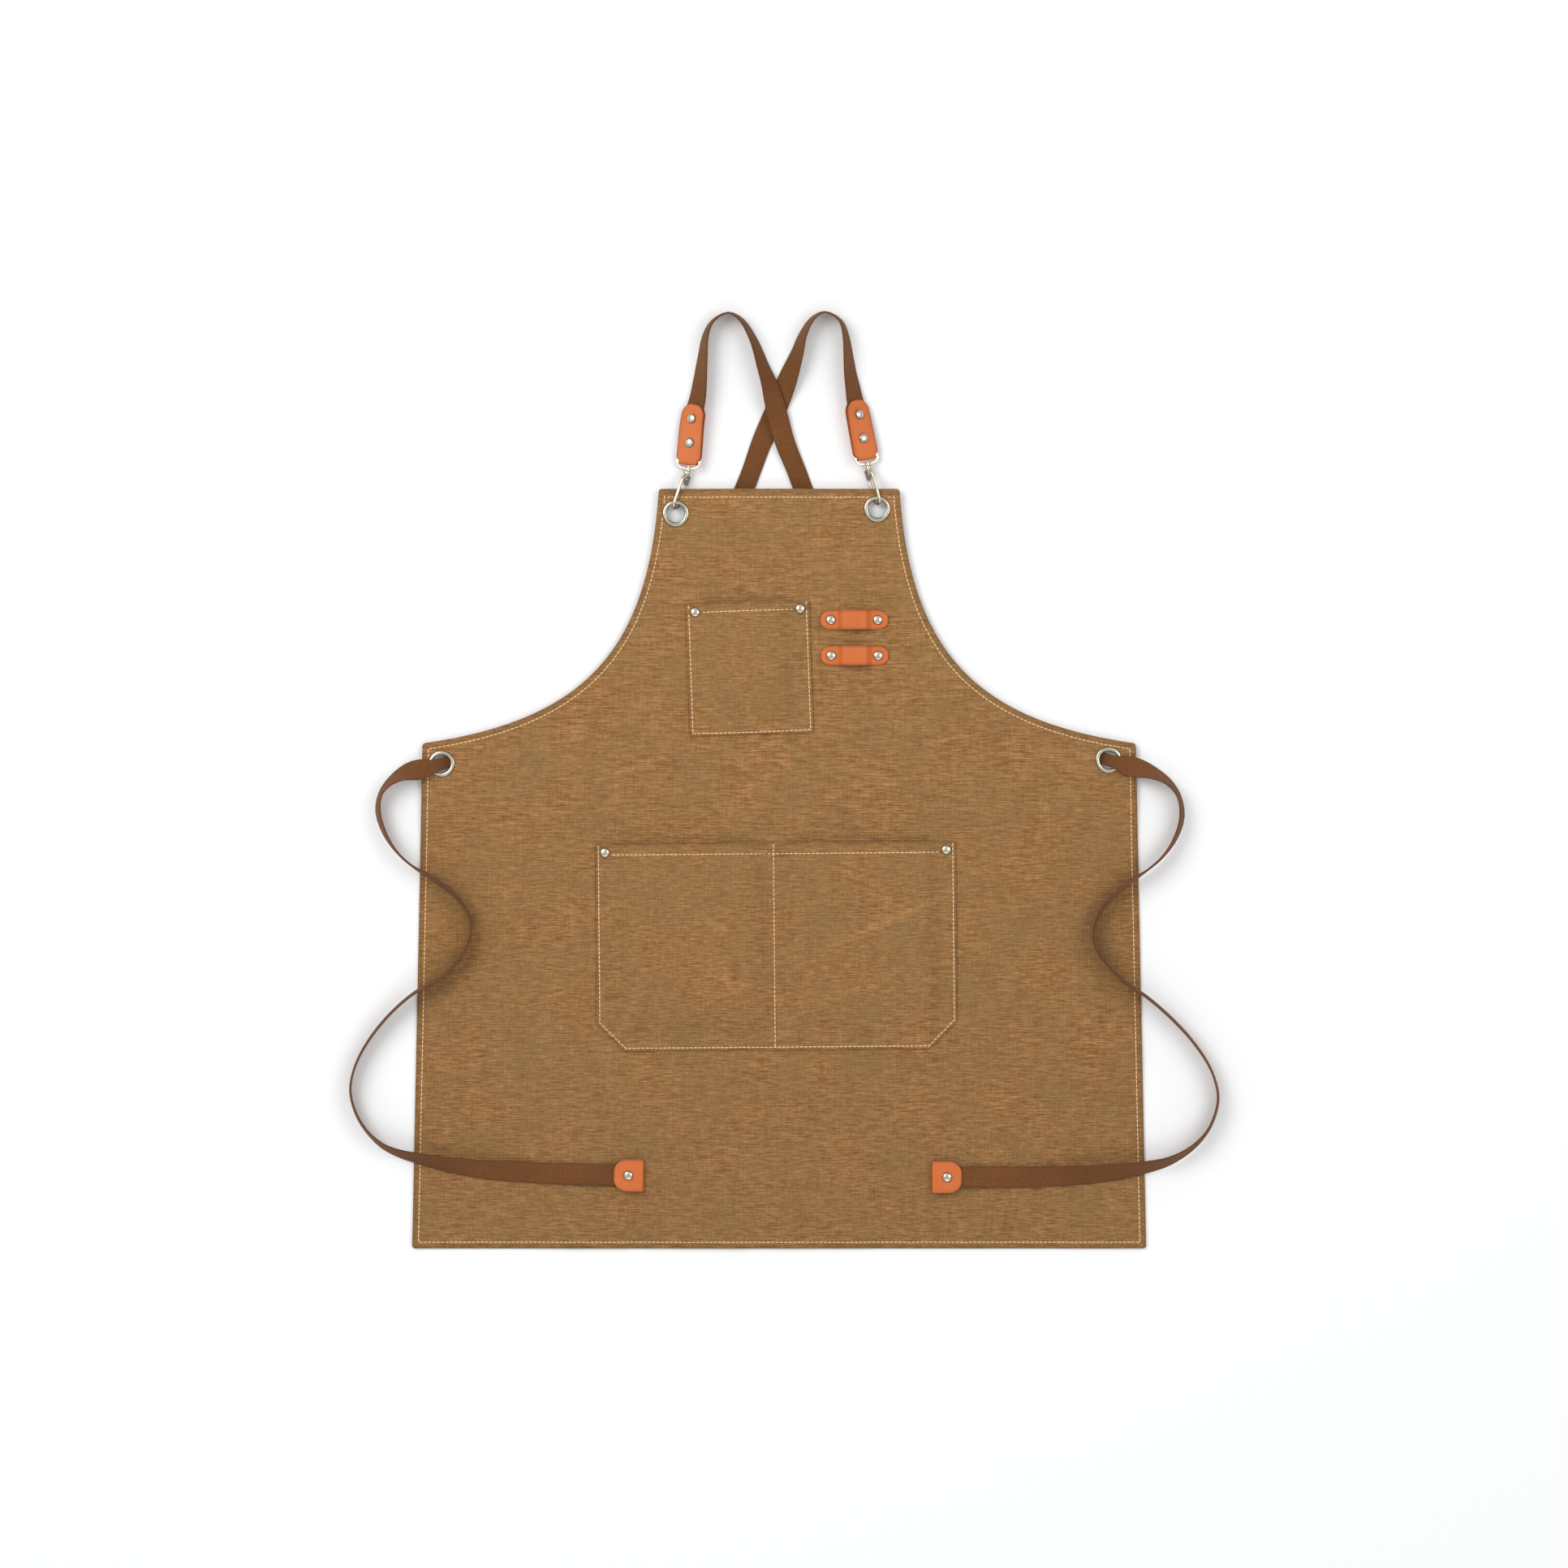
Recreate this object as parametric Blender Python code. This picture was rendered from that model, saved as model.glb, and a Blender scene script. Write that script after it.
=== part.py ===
"""Canvas bib apron with riveted leather, eyelets, snap hooks and crossed webbing straps."""

from math import ceil, copysign, cos, hypot, pi, radians, sin

import bmesh
import bpy
from mathutils import Matrix, Vector

GAP = 0.0003
TINY = 0.000001

# cloth
CLOTH = 0.0009
HEM_LAYERS = 3
HEM_WIDTH = 0.0046
TOP_Y = 0.7205
BOTTOM_Y = -0.0026
BIB_HALF = 0.1145
SIDE_HALF = 0.3396
SIDE_DROP = 0.2421
SKIRT_HALF = 0.3496
ARMHOLE_TOP_LEAN = 0.065
ARMHOLE_TOP_PULL = 0.1528
ARMHOLE_SIDE_LEAN = 0.139
ARMHOLE_SIDE_PULL = 0.1579
ARMHOLE_STEPS = 14
# the cloth lies over the straps and the hooks: (y, height of the hem's underside)
DRAPE = [(0.3900, 0.0), (0.4400, 0.0030), (0.6550, 0.0030), (TOP_Y, 0.0060)]

# patch pockets: centre, size, lean in degrees, swell and how far it takes to swell
CHEST = {"centre": (-0.0281, 0.5496), "size": (0.1180, 0.1260), "lean": 2.0, "chamfer": 0.0}
LOWER = {"centre": (-0.0026, 0.2850), "size": (0.3430, 0.1970), "lean": 0.5, "chamfer": 0.026}
SWELL = 0.0062
SWELL_RUN = 0.018
POCKET_BOTTOM_SEAM = 0.005
RIVET_IN = 0.0090
RIVET_DOWN = 0.0078
DIVIDER_X = -0.002
DIVIDER_HALF = 0.004

# leather
LEATHER = 0.0014
LOOP_CENTRES = {"upper": (0.0714, 0.5958), "lower": (0.0719, 0.5618)}
LOOP_LENGTH = 0.065
LOOP_WIDTH = 0.0187
LOOP_RIVETS = 0.0447
LOOP_SWELL = 0.0060
LOOP_RUN = 0.008
TAB_LENGTH = 0.0585
TAB_WIDTH = 0.0240
TAB_RIVETS = (0.0175, 0.0405)
TAB_STEP = 0.010
TIP_LENGTH = 0.0260
TIP_WIDTH = 0.0308
TIP_RIVET = 0.0145
TIP_GAP = 0.0030
TIP_PULL = 0.0026

# webbing
WEB_WIDTH = 0.0200
WEB_THICK = 0.0018
WEB_COLUMNS = 4

# rivets and eyelets
CAP_R = 0.0045
CAP_HIGH = 0.0020
POST_R = 0.0013
BURR_THICK = 0.0012
SOCKET_DEPTH = 0.0006
EYELETS = {
    "top_left": (-0.0984, 0.6969),
    "top_right": (0.0932, 0.7012),
    "side_left": (-0.3212, 0.4589),
    "side_right": (0.3135, 0.4626),
}
EYELET_HOLE_R = 0.0085
EYELET_TUBE = 0.0006
EYELET_R = 0.0125
FLANGE_HIGH = 0.0010
WASHER_THICK = 0.0006
LIP_THICK = 0.0004
LIP_OUT = 0.0012

# snap hooks: fold point of each shoulder tab, then the hook along its own axis
FOLDS = {"left": (-0.0864, 0.7432), "right": (0.0833, 0.7480)}
BAR_HALF = 0.0014
PLATE_THICK = 0.0014
FOLD_CENTRE = 0.0008
BAIL_HALF = 0.0122
WINDOW_HALF = 0.0099
NARROW_HALF = 0.0090
SWIVEL_DROP = 0.0086
HOOK_REACH = 0.0380
HOOK_ROLL = 25.0
LOOP_R = 0.0054
WIRE_R = 0.0016
STEM_R = 0.0013
RUNNING = 0.00015
PIVOT = (0.0062, -0.0030)
GATE_REACH = 0.0083
NOSE_U = 0.0152
PIN_R = 0.0007
EAR = (-0.0022, -0.0004)
CHEEK = 0.0007

# strap routes: x, y, height of what it lies on, roll in degrees, width share, thickness share
OVER = 0.0029
TAB_LIFT = 0.0040
TAB_ROLL = 14
STRAP_FROM_LEFT = [
    (-0.0822, 0.7862, 0.0034, 26, 1, 1), (-0.0776, 0.8056, 0.0030, 38, 1, 1),
    (-0.0761, 0.8155, 0.0024, 44, 1, 1), (-0.0745, 0.8298, 0.0016, 53, 1, 1),
    (-0.0726, 0.8470, 0.0008, 63, 1, 1), (-0.0700, 0.8660, 0.0002, 73, 1, 1),
    (-0.0630, 0.8800, 0, 80, 1, 1), (-0.0483, 0.8877, 0, 83, 1, 1),
    (-0.0358, 0.8808, 0, 77, 1, 1), (-0.0261, 0.8655, 0.0004, 70, 1, 1),
    (-0.0201, 0.8513, 0.0012, 63, 1, 1), (-0.0154, 0.8370, 0.0026, 54, 1, 1),
    (-0.0102, 0.8227, 0.0042, 42, 1, 1), (-0.0062, 0.8084, 0.0042, 28, 1, 1),
    (-0.0025, 0.7941, 0.0036, 16, 1, 1), (0.0053, 0.7655, 0.0024, 6, 0.95, 1),
    (0.0168, 0.7369, 0.0006, 2, 0.9, 1), (0.0221, 0.7226, 0, 0, 0.9, 1),
    (0.0380, 0.6830, 0, 0, 0.95, 1), (0.0690, 0.6260, 0, 0, 1, 1),
    (0.1080, 0.5760, 0, 0, 1, 1), (0.1570, 0.5350, 0, 0, 1, 1),
    (0.2200, 0.4960, 0, 0, 1, 1), (0.2800, 0.4740, 0, 0, 0.95, 1),
    (0.2990, 0.4676, 0, 0, 0.66, 1.3), (0.3052, 0.4655, 0, 0, 0.56, 1.35),
    (0.3090, 0.4642, 0.0001, 0, 0.56, 1.35), (0.3135, 0.4626, 0.0038, 0, 0.56, 1.35),
    (0.3182, 0.4610, 0.0076, 0, 0.58, 1.35), (0.3222, 0.4598, 0.0078, 0, 0.7, 1.2),
    (0.3310, 0.4573, 0.0078, 4, 0.95, 1), (0.3395, 0.4550, 0.0074, 20, 1, 1),
    (0.3540, 0.4508, 0.0058, 50, 1, 1), (0.3690, 0.4425, 0.0030, 68, 1, 1),
    (0.3798, 0.4285, 0.0010, 76, 1, 1), (0.3829, 0.4088, 0.0005, 73, 1, 1),
    (0.3770, 0.3890, 0.0012, 76, 1, 1), (0.3650, 0.3712, 0.0022, 82, 1, 1),
    (0.3494, 0.3575, OVER, 84, 1, 1), (0.3374, 0.3496, OVER, 78, 1, 1),
    (0.3218, 0.3373, OVER, 76, 1, 1), (0.3069, 0.3204, OVER, 80, 1, 1),
    (0.2986, 0.3016, OVER, 84, 1, 1), (0.3001, 0.2850, OVER, 86, 1, 1),
    (0.3117, 0.2680, OVER, 86, 1, 1), (0.3287, 0.2513, OVER, 84, 1, 1),
    (0.3488, 0.2378, 0.0026, 84, 1, 1), (0.3721, 0.2177, 0.0012, 84, 1, 1),
    (0.3922, 0.1961, 0, 84, 1, 1), (0.4092, 0.1708, 0, 84, 1, 1),
    (0.4169, 0.1473, 0, 82, 1, 1), (0.4159, 0.1306, 0, 80, 1, 1),
    (0.4076, 0.1104, 0.0008, 78, 1, 1), (0.3922, 0.0937, 0.0018, 72, 1, 1),
    (0.3713, 0.0816, 0.0026, 62, 1, 1), (0.3519, 0.0762, 0.0029, 52, 1, 1),
    (0.3287, 0.0718, 0.0030, 40, 1, 1), (0.2851, 0.0677, 0.0031, 22, 1, 1),
    (0.2348, 0.0656, 0.0033, 8, 1, 1), (0.1945, 0.0657, 0.0045, 0, 1, 1),
    (0.1640, 0.0658, 0.0060, 0, 1, 1), (0.1452, 0.0658, 0.0060, 0, 1, 1),
]
STRAP_FROM_RIGHT = [
    (0.0758, 0.7860, 0.0034, -26, 1, 1), (0.0718, 0.8055, 0.0030, -38, 1, 1),
    (0.0702, 0.8155, 0.0024, -44, 1, 1), (0.0677, 0.8298, 0.0016, -53, 1, 1),
    (0.0658, 0.8470, 0.0008, -63, 1, 1), (0.0634, 0.8660, 0.0002, -73, 1, 1),
    (0.0580, 0.8805, 0, -80, 1, 1), (0.0432, 0.8884, 0, -83, 1, 1),
    (0.0311, 0.8813, 0, -76, 1, 1), (0.0221, 0.8655, 0, -66, 1, 1),
    (0.0178, 0.8513, 0, -54, 1, 1), (0.0127, 0.8370, 0, -38, 1, 1),
    (0.0073, 0.8227, 0, -20, 1, 1), (0.0018, 0.8084, 0, -6, 1, 1),
    (-0.0040, 0.7941, 0, 0, 1, 1), (-0.0165, 0.7655, 0, 0, 0.95, 1),
    (-0.0268, 0.7369, 0, 0, 0.9, 1), (-0.0325, 0.7226, 0, 0, 0.9, 1),
    (-0.0500, 0.6830, 0, 0, 0.95, 1), (-0.0790, 0.6260, 0, 0, 1, 1),
    (-0.1150, 0.5760, 0, 0, 1, 1), (-0.1620, 0.5340, 0, 0, 1, 1),
    (-0.2260, 0.4930, 0, 0, 1, 1), (-0.2870, 0.4700, 0, 0, 0.95, 1),
    (-0.3066, 0.4637, 0, 0, 0.66, 1.3), (-0.3129, 0.4617, 0, 0, 0.56, 1.35),
    (-0.3168, 0.4604, 0.0001, 0, 0.56, 1.35), (-0.3212, 0.4589, 0.0038, 0, 0.56, 1.35),
    (-0.3259, 0.4573, 0.0076, 0, 0.58, 1.35), (-0.3299, 0.4561, 0.0078, 0, 0.7, 1.2),
    (-0.3385, 0.4540, 0.0078, -4, 0.95, 1), (-0.3470, 0.4524, 0.0074, -20, 1, 1),
    (-0.3590, 0.4490, 0.0058, -50, 1, 1), (-0.3710, 0.4410, 0.0030, -68, 1, 1),
    (-0.3792, 0.4295, 0.0010, -76, 1, 1), (-0.3812, 0.4130, 0.0005, -73, 1, 1),
    (-0.3750, 0.3930, 0.0012, -76, 1, 1), (-0.3640, 0.3760, 0.0022, -82, 1, 1),
    (-0.3500, 0.3628, OVER, -84, 1, 1), (-0.3357, 0.3539, OVER, -78, 1, 1),
    (-0.3171, 0.3419, OVER, -76, 1, 1), (-0.3020, 0.3268, OVER, -80, 1, 1),
    (-0.2929, 0.3083, OVER, -84, 1, 1), (-0.2952, 0.2890, OVER, -86, 1, 1),
    (-0.3055, 0.2714, OVER, -86, 1, 1), (-0.3204, 0.2564, OVER, -84, 1, 1),
    (-0.3388, 0.2463, OVER, -84, 1, 1), (-0.3574, 0.2329, 0.0026, -84, 1, 1),
    (-0.3775, 0.2128, 0.0012, -84, 1, 1), (-0.3945, 0.1893, 0, -84, 1, 1),
    (-0.4045, 0.1674, 0, -84, 1, 1), (-0.4076, 0.1473, 0, -82, 1, 1),
    (-0.4026, 0.1272, 0, -80, 1, 1), (-0.3926, 0.1104, 0.0008, -78, 1, 1),
    (-0.3775, 0.0963, 0.0018, -72, 1, 1), (-0.3607, 0.0886, 0.0026, -64, 1, 1),
    (-0.3439, 0.0843, 0.0029, -55, 1, 1), (-0.3171, 0.0785, 0.0030, -42, 1, 1),
    (-0.2835, 0.0735, 0.0031, -26, 1, 1), (-0.2500, 0.0712, 0.0032, -12, 1, 1),
    (-0.2166, 0.0692, 0.0034, -4, 1, 1), (-0.1829, 0.0682, 0.0045, 0, 1, 1),
    (-0.1480, 0.0675, 0.0060, 0, 1, 1), (-0.1289, 0.0672, 0.0060, 0, 1, 1),
]


# ---- small tools


def material(name, colour, roughness, metallic=0.0):
    mat = bpy.data.materials.get(name) or bpy.data.materials.new(name)
    mat.use_nodes = True
    shader = mat.node_tree.nodes["Principled BSDF"]
    shader.inputs["Base Color"].default_value = (*colour, 1.0)
    shader.inputs["Roughness"].default_value = roughness
    shader.inputs["Metallic"].default_value = metallic
    return mat


def add_object(name, bm, mat=None, place=None):
    bmesh.ops.recalc_face_normals(bm, faces=bm.faces)
    mesh = bpy.data.meshes.new(name)
    bm.to_mesh(mesh)
    bm.free()
    obj = bpy.data.objects.new(name, mesh)
    bpy.context.scene.collection.objects.link(obj)
    if mat:
        mesh.materials.append(mat)
    if place is not None:
        obj.matrix_world = place
    return obj


def cut(target, cutter, operation="DIFFERENCE"):
    mod = target.modifiers.new(cutter.name, "BOOLEAN")
    mod.operation = operation
    mod.solver = "EXACT"
    mod.object = cutter
    cutter.hide_render = True
    cutter.display_type = "WIRE"


def smooth(share):
    share = min(max(share, 0.0), 1.0)
    return share * share * (3 - 2 * share)


def drape(y):
    """Height of the hem's underside, straight between the knots of DRAPE."""
    if y <= DRAPE[0][0]:
        return DRAPE[0][1]
    for (y0, z0), (y1, z1) in zip(DRAPE, DRAPE[1:]):
        if y <= y1:
            return z0 + (z1 - z0) * (y - y0) / (y1 - y0)
    return DRAPE[-1][1]


def front(y):
    """Height of the body's front face."""
    return drape(y) + HEM_LAYERS * CLOTH


def back(y):
    """Height of the single cloth's back face."""
    return front(y) - CLOTH


def thicken(bm, faces):
    """Extrude flat faces and return the new vertices; the old ones stay where they are."""
    made = bmesh.ops.extrude_face_region(bm, geom=faces)["geom"]
    return [v for v in made if isinstance(v, bmesh.types.BMVert)]


def slice_at(bm, point, normal, clear=False):
    bmesh.ops.bisect_plane(bm, geom=bm.verts[:] + bm.edges[:] + bm.faces[:], dist=TINY,
                           plane_co=point, plane_no=normal, clear_outer=clear)


def turned(profile, steps):
    """Closed turned solid from (radius, height) points, first and last on the axis or a ring."""
    bm = bmesh.new()
    verts = [bm.verts.new((r, 0, h)) for r, h in profile]
    ring = profile[0][0] > 0
    pairs = list(zip(verts, verts[1:] + (verts[:1] if ring else [])))
    if not ring:
        pairs = pairs[:-1] if len(pairs) == len(verts) else pairs
    edges = [bm.edges.new(pair) for pair in pairs]
    bmesh.ops.spin(bm, geom=edges, cent=(0, 0, 0), axis=(0, 0, 1), angle=2 * pi,
                   steps=steps, use_merge=True)
    bmesh.ops.remove_doubles(bm, verts=bm.verts, dist=TINY)
    return bm


def plug(name, places, radius, low, high, steps=10):
    """Cutter: one cylinder from low to high along local Z at each place."""
    bm = bmesh.new()
    for place in places:
        middle = Matrix.Translation((0, 0, (low + high) / 2))
        bmesh.ops.create_cone(bm, cap_ends=True, segments=steps, radius1=radius, radius2=radius,
                              depth=high - low, matrix=place @ middle)
    return add_object(name, bm)


# ---- ribbons: flat patterns bent along a smooth path


def steady_slopes(places, values):
    """Slopes that never overshoot the values between two points."""
    steps = [b - a for a, b in zip(places, places[1:])]
    rises = [(b - a) / s for a, b, s in zip(values, values[1:], steps)]
    slopes = [rises[0]]
    for before, after in zip(rises, rises[1:]):
        slopes.append(0.0 if before * after <= 0 else 2 * before * after / (before + after))
    return slopes + [rises[-1]]


def even_slopes(places, values):
    """Slopes of a smooth curve through the points."""
    slopes = [(values[1] - values[0]) / (places[1] - places[0])]
    for i in range(1, len(values) - 1):
        slopes.append((values[i + 1] - values[i - 1]) / (places[i + 1] - places[i - 1]))
    return slopes + [(values[-1] - values[-2]) / (places[-1] - places[-2])]


def blend(places, values, slopes, i, share):
    """Cubic between points i and i + 1."""
    step = places[i + 1] - places[i]
    s2, s3 = share**2, share**3
    return ((2 * s3 - 3 * s2 + 1) * values[i] + (s3 - 2 * s2 + share) * step * slopes[i]
            + (3 * s2 - 2 * s3) * values[i + 1] + (s3 - s2) * step * slopes[i + 1])


class Ribbon:
    """A path with a roll, a width and a thickness at each station."""

    def __init__(self, route, longest):
        places = [0.0]
        for a, b in zip(route, route[1:]):
            places.append(places[-1] + hypot(b[0] - a[0], b[1] - a[1]))
        columns = list(zip(*route))
        slopes = [even_slopes(places, c) if n < 2 else steady_slopes(places, c)
                  for n, c in enumerate(columns)]
        rows = []
        for i in range(len(route) - 1):
            step = TAB_STEP if places[i] < TAB_LENGTH else longest
            parts = ceil((places[i + 1] - places[i]) / step)
            for part in range(parts):
                rows.append([blend(places, c, s, i, part / parts)
                             for c, s in zip(columns, slopes)])
        rows.append([c[-1] for c in columns])
        self.points = []
        self.rolls = []
        self.shares = []
        for x, y, lift, roll, wide, thick in rows:
            tall = WEB_WIDTH / 2 * wide * abs(sin(radians(roll)))
            tall += WEB_THICK / 2 * thick * abs(cos(radians(roll)))
            self.points.append(Vector((x, y, lift + GAP + tall)))
            self.rolls.append(radians(roll))
            self.shares.append((wide, thick))
        self.places = [0.0]
        for a, b in zip(self.points, self.points[1:]):
            self.places.append(self.places[-1] + (b - a).length)
        self.length = self.places[-1]

    def at(self, place):
        """Point, along, across and up directions and shares at a distance along the ribbon."""
        i = 0
        while i < len(self.places) - 2 and place > self.places[i + 1]:
            i += 1
        share = (place - self.places[i]) / (self.places[i + 1] - self.places[i])
        point = self.points[i].lerp(self.points[i + 1], share)
        before = self.along(i)
        after = self.along(i + 1)
        mixed = min(max(share, 0.0), 1.0)
        along = before.lerp(after, mixed).normalized()
        roll = self.rolls[i] + (self.rolls[i + 1] - self.rolls[i]) * mixed
        side = along.cross(Vector((0, 0, 1))).normalized()
        up = side.cross(along)
        # the inner edge of each bend is the higher one
        across = side * cos(roll) + up * sin(roll)
        out = across.cross(along)
        wide, thick = (a + (b - a) * mixed for a, b in zip(self.shares[i], self.shares[i + 1]))
        return point, along, across, out, wide, thick

    def along(self, i):
        low = self.points[max(i - 1, 0)]
        high = self.points[min(i + 1, len(self.points) - 1)]
        return (high - low).normalized()

    def place(self, place, height):
        """Frame of a rivet standing on the ribbon, its Z pointing out of the front."""
        point, along, across, out, _, _ = self.at(place)
        frame = Matrix((across, along, out)).transposed().to_4x4()
        frame.translation = point + out * height
        return frame

    def bend(self, bm, from_end=False):
        """Move a flat pattern (x along, y across, z out) on to the ribbon."""
        for v in bm.verts:
            s, t, n = v.co
            if from_end:
                s = self.length - s
            point, _, across, out, _, _ = self.at(s)
            v.co = point + across * t + out * n


def strip(stations, columns):
    """Flat grid: x takes the stations, y runs from -1 to 1."""
    bm = bmesh.new()
    bmesh.ops.create_grid(bm, x_segments=len(stations) - 1, y_segments=columns, size=1.0)
    last = len(stations) - 1
    for v in bm.verts:
        v.co.x = stations[round((v.co.x + 1) / 2 * last)]
    return bm


def make_webbing(name, ribbon, start, finish, mat):
    stations = [start] + [p for p in ribbon.places if start + 0.001 < p < finish - 0.001] + [finish]
    bm = strip(stations, WEB_COLUMNS)
    upper = thicken(bm, bm.faces[:])
    for v in bm.verts:
        point, _, across, out, wide, thick = ribbon.at(v.co.x)
        side = 1 if v in upper else -1
        v.co = (point + across * v.co.y * wide * WEB_WIDTH / 2
                + out * side * thick * WEB_THICK / 2)
    return add_object(name, bm, mat)


def make_fold(name, ribbon, length, width, narrow, centre, mat, from_end=False):
    """Leather folded round a bar or an end: two leaves with round far ends and a bend."""
    radius = WEB_THICK / 2 + GAP + LEATHER / 2
    arc = pi / 2 * radius
    rounding = width * 0.42
    leaf = [arc + length - rounding * (1 - sin(radians(a))) for a in (0, 20, 40, 60, 80)]
    middle = [arc + (length - rounding) * k / 5 for k in range(1, 5)]
    half = [0.0, arc / 3, arc * 2 / 3, arc] + middle + leaf
    stations = [-p for p in reversed(half[1:])] + half
    bm = strip(stations, WEB_COLUMNS)
    upper = set(thicken(bm, bm.faces[:]))
    for v in bm.verts:
        place, across = v.co.x, v.co.y
        reach = abs(place)
        past = max(0.0, reach - (arc + length - rounding)) / rounding
        edge = width / 2 - rounding + rounding * (1 - min(past, 1.0) ** 2) ** 0.5
        if reach < arc - TINY:
            edge = narrow
        level = radius + (LEATHER / 2 if v in upper else -LEATHER / 2)
        if reach > arc:
            v.co = (reach - arc - centre, across * edge, copysign(level, place))
        else:
            turn = place / radius
            v.co = (-centre - level * cos(turn), across * edge, level * sin(turn))
    ribbon.bend(bm, from_end)
    return add_object(name, bm, mat)


# ---- rivets and eyelets


def make_rivet(name, place, stack, mat):
    """Domed cap with its post, and the back cap that the post is set into."""
    reach = GAP + stack + SOCKET_DEPTH
    cap = turned([(0, CAP_HIGH), (CAP_R * 0.5, CAP_HIGH * 0.86), (CAP_R * 0.82, CAP_HIGH * 0.5),
                  (CAP_R, CAP_HIGH * 0.12), (CAP_R, 0), (POST_R, 0), (POST_R, -reach),
                  (0, -reach)], 12)
    cap_place = place @ Matrix.Translation((0, 0, GAP))
    add_object("rivet_" + name, cap, mat, cap_place).data.shade_smooth()
    bore = POST_R + GAP
    burr = turned([(0, -BURR_THICK), (CAP_R * 0.85, -BURR_THICK), (CAP_R, -BURR_THICK * 0.6),
                   (CAP_R, 0), (bore, 0), (bore, -SOCKET_DEPTH), (0, -SOCKET_DEPTH)], 12)
    burr_place = place @ Matrix.Translation((0, 0, -stack - GAP))
    add_object("burr_" + name, burr, mat, burr_place)


def make_eyelet(name, x, y, mat):
    """Flange and tube on the front, washer behind the cloth, and the tube's rolled lip."""
    tube_r = EYELET_HOLE_R + EYELET_TUBE
    under = CLOTH + GAP + WASHER_THICK + GAP
    grommet = turned([
        (tube_r, GAP), (EYELET_R, GAP), (EYELET_R, GAP + FLANGE_HIGH * 0.35),
        ((tube_r + EYELET_R) / 2, GAP + FLANGE_HIGH), (tube_r, GAP + FLANGE_HIGH * 0.8),
        (EYELET_HOLE_R, GAP + FLANGE_HIGH * 0.2), (EYELET_HOLE_R, -under - LIP_THICK),
        (tube_r + LIP_OUT, -under - LIP_THICK), (tube_r + LIP_OUT, -under), (tube_r, -under),
    ], 20)
    slope = (front(y + 0.001) - front(y - 0.001)) / 0.002
    place = Matrix.Translation((x, y, front(y))) @ Matrix.Rotation(slope, 4, "X")
    add_object("grommet_" + name, grommet, mat, place)
    low = -CLOTH - GAP - WASHER_THICK
    washer = turned([(tube_r + GAP, -CLOTH - GAP), (EYELET_R, -CLOTH - GAP), (EYELET_R, low),
                     (tube_r + GAP, low)], 20)
    add_object("washer_" + name, washer, mat, place)
    return place


# ---- cloth pieces


def armhole():
    """Right armhole from the bib's corner to the side corner, as one cubic curve."""
    a = Vector((BIB_HALF, TOP_Y))
    d = Vector((SIDE_HALF, TOP_Y - SIDE_DROP))
    b = a + ARMHOLE_TOP_PULL * Vector((sin(ARMHOLE_TOP_LEAN), -cos(ARMHOLE_TOP_LEAN)))
    c = d - ARMHOLE_SIDE_PULL * Vector((cos(ARMHOLE_SIDE_LEAN), -sin(ARMHOLE_SIDE_LEAN)))
    points = []
    for i in range(ARMHOLE_STEPS + 1):
        t = i / ARMHOLE_STEPS
        points.append((1 - t)**3 * a + 3 * (1 - t)**2 * t * b + 3 * (1 - t) * t**2 * c + t**3 * d)
    return points


def make_body(holes, posts, mat):
    right = [(p.x, p.y) for p in armhole()] + [(SKIRT_HALF, BOTTOM_Y)]
    left = [(-x, y) for x, y in reversed(right)]
    bm = bmesh.new()
    inside = bm.faces.layers.int.new("inside")
    level = bm.verts.layers.int.new("level")
    sheet = bm.faces.new([bm.verts.new((x, y, 0)) for x, y in right + left])
    bm.normal_update()
    bmesh.ops.inset_region(bm, faces=[sheet], thickness=HEM_WIDTH, use_even_offset=True,
                           use_boundary=True)
    inner = max(bm.faces, key=lambda f: f.calc_area())
    inner[inside] = 1
    for y, _ in DRAPE[:-1]:
        slice_at(bm, (0, y, 0), (0, 1, 0))
    for v in thicken(bm, bm.faces[:]):
        v[level] = 1
    panel = [f for f in bm.faces if f[inside] and all(v[level] == 0 for v in f.verts)]
    for v in thicken(bm, panel):
        v[level] = 2
    stray = [f for f in bm.faces if f in panel]
    bmesh.ops.delete(bm, geom=stray, context="FACES_ONLY")
    heights = {0: drape, 1: front, 2: back}
    for v in bm.verts:
        v.co.z = heights[v[level]](v.co.y)
    body = add_object("apron_body", bm, mat)
    tube = EYELET_HOLE_R + EYELET_TUBE + GAP
    cut(body, plug("cut_eyelets", holes, tube, -0.01, 0.01, 20))
    cut(body, plug("cut_posts", posts, POST_R + GAP, -0.01, 0.01))
    return body


def pocket_points(pocket):
    """Frame of a pocket lying on the body, its origin in the middle, its mouth towards +Y."""
    x, y = pocket["centre"]
    return Matrix.Translation((x, y, 0)) @ Matrix.Rotation(radians(pocket["lean"]), 4, "Z")


def mouth_rivets(pocket):
    wide, tall = pocket["size"]
    frame = pocket_points(pocket)
    spots = []
    for side in (-1, 1):
        spot = frame @ Vector((side * (wide / 2 - RIVET_IN), tall / 2 - RIVET_DOWN, 0))
        tilt = (front(spot.y + 0.001) - front(spot.y - 0.001)) / 0.002
        place = Matrix.Translation((spot.x, spot.y, front(spot.y) + GAP + CLOTH))
        spots.append(place @ Matrix.Rotation(tilt, 4, "X"))
    return spots


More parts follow.
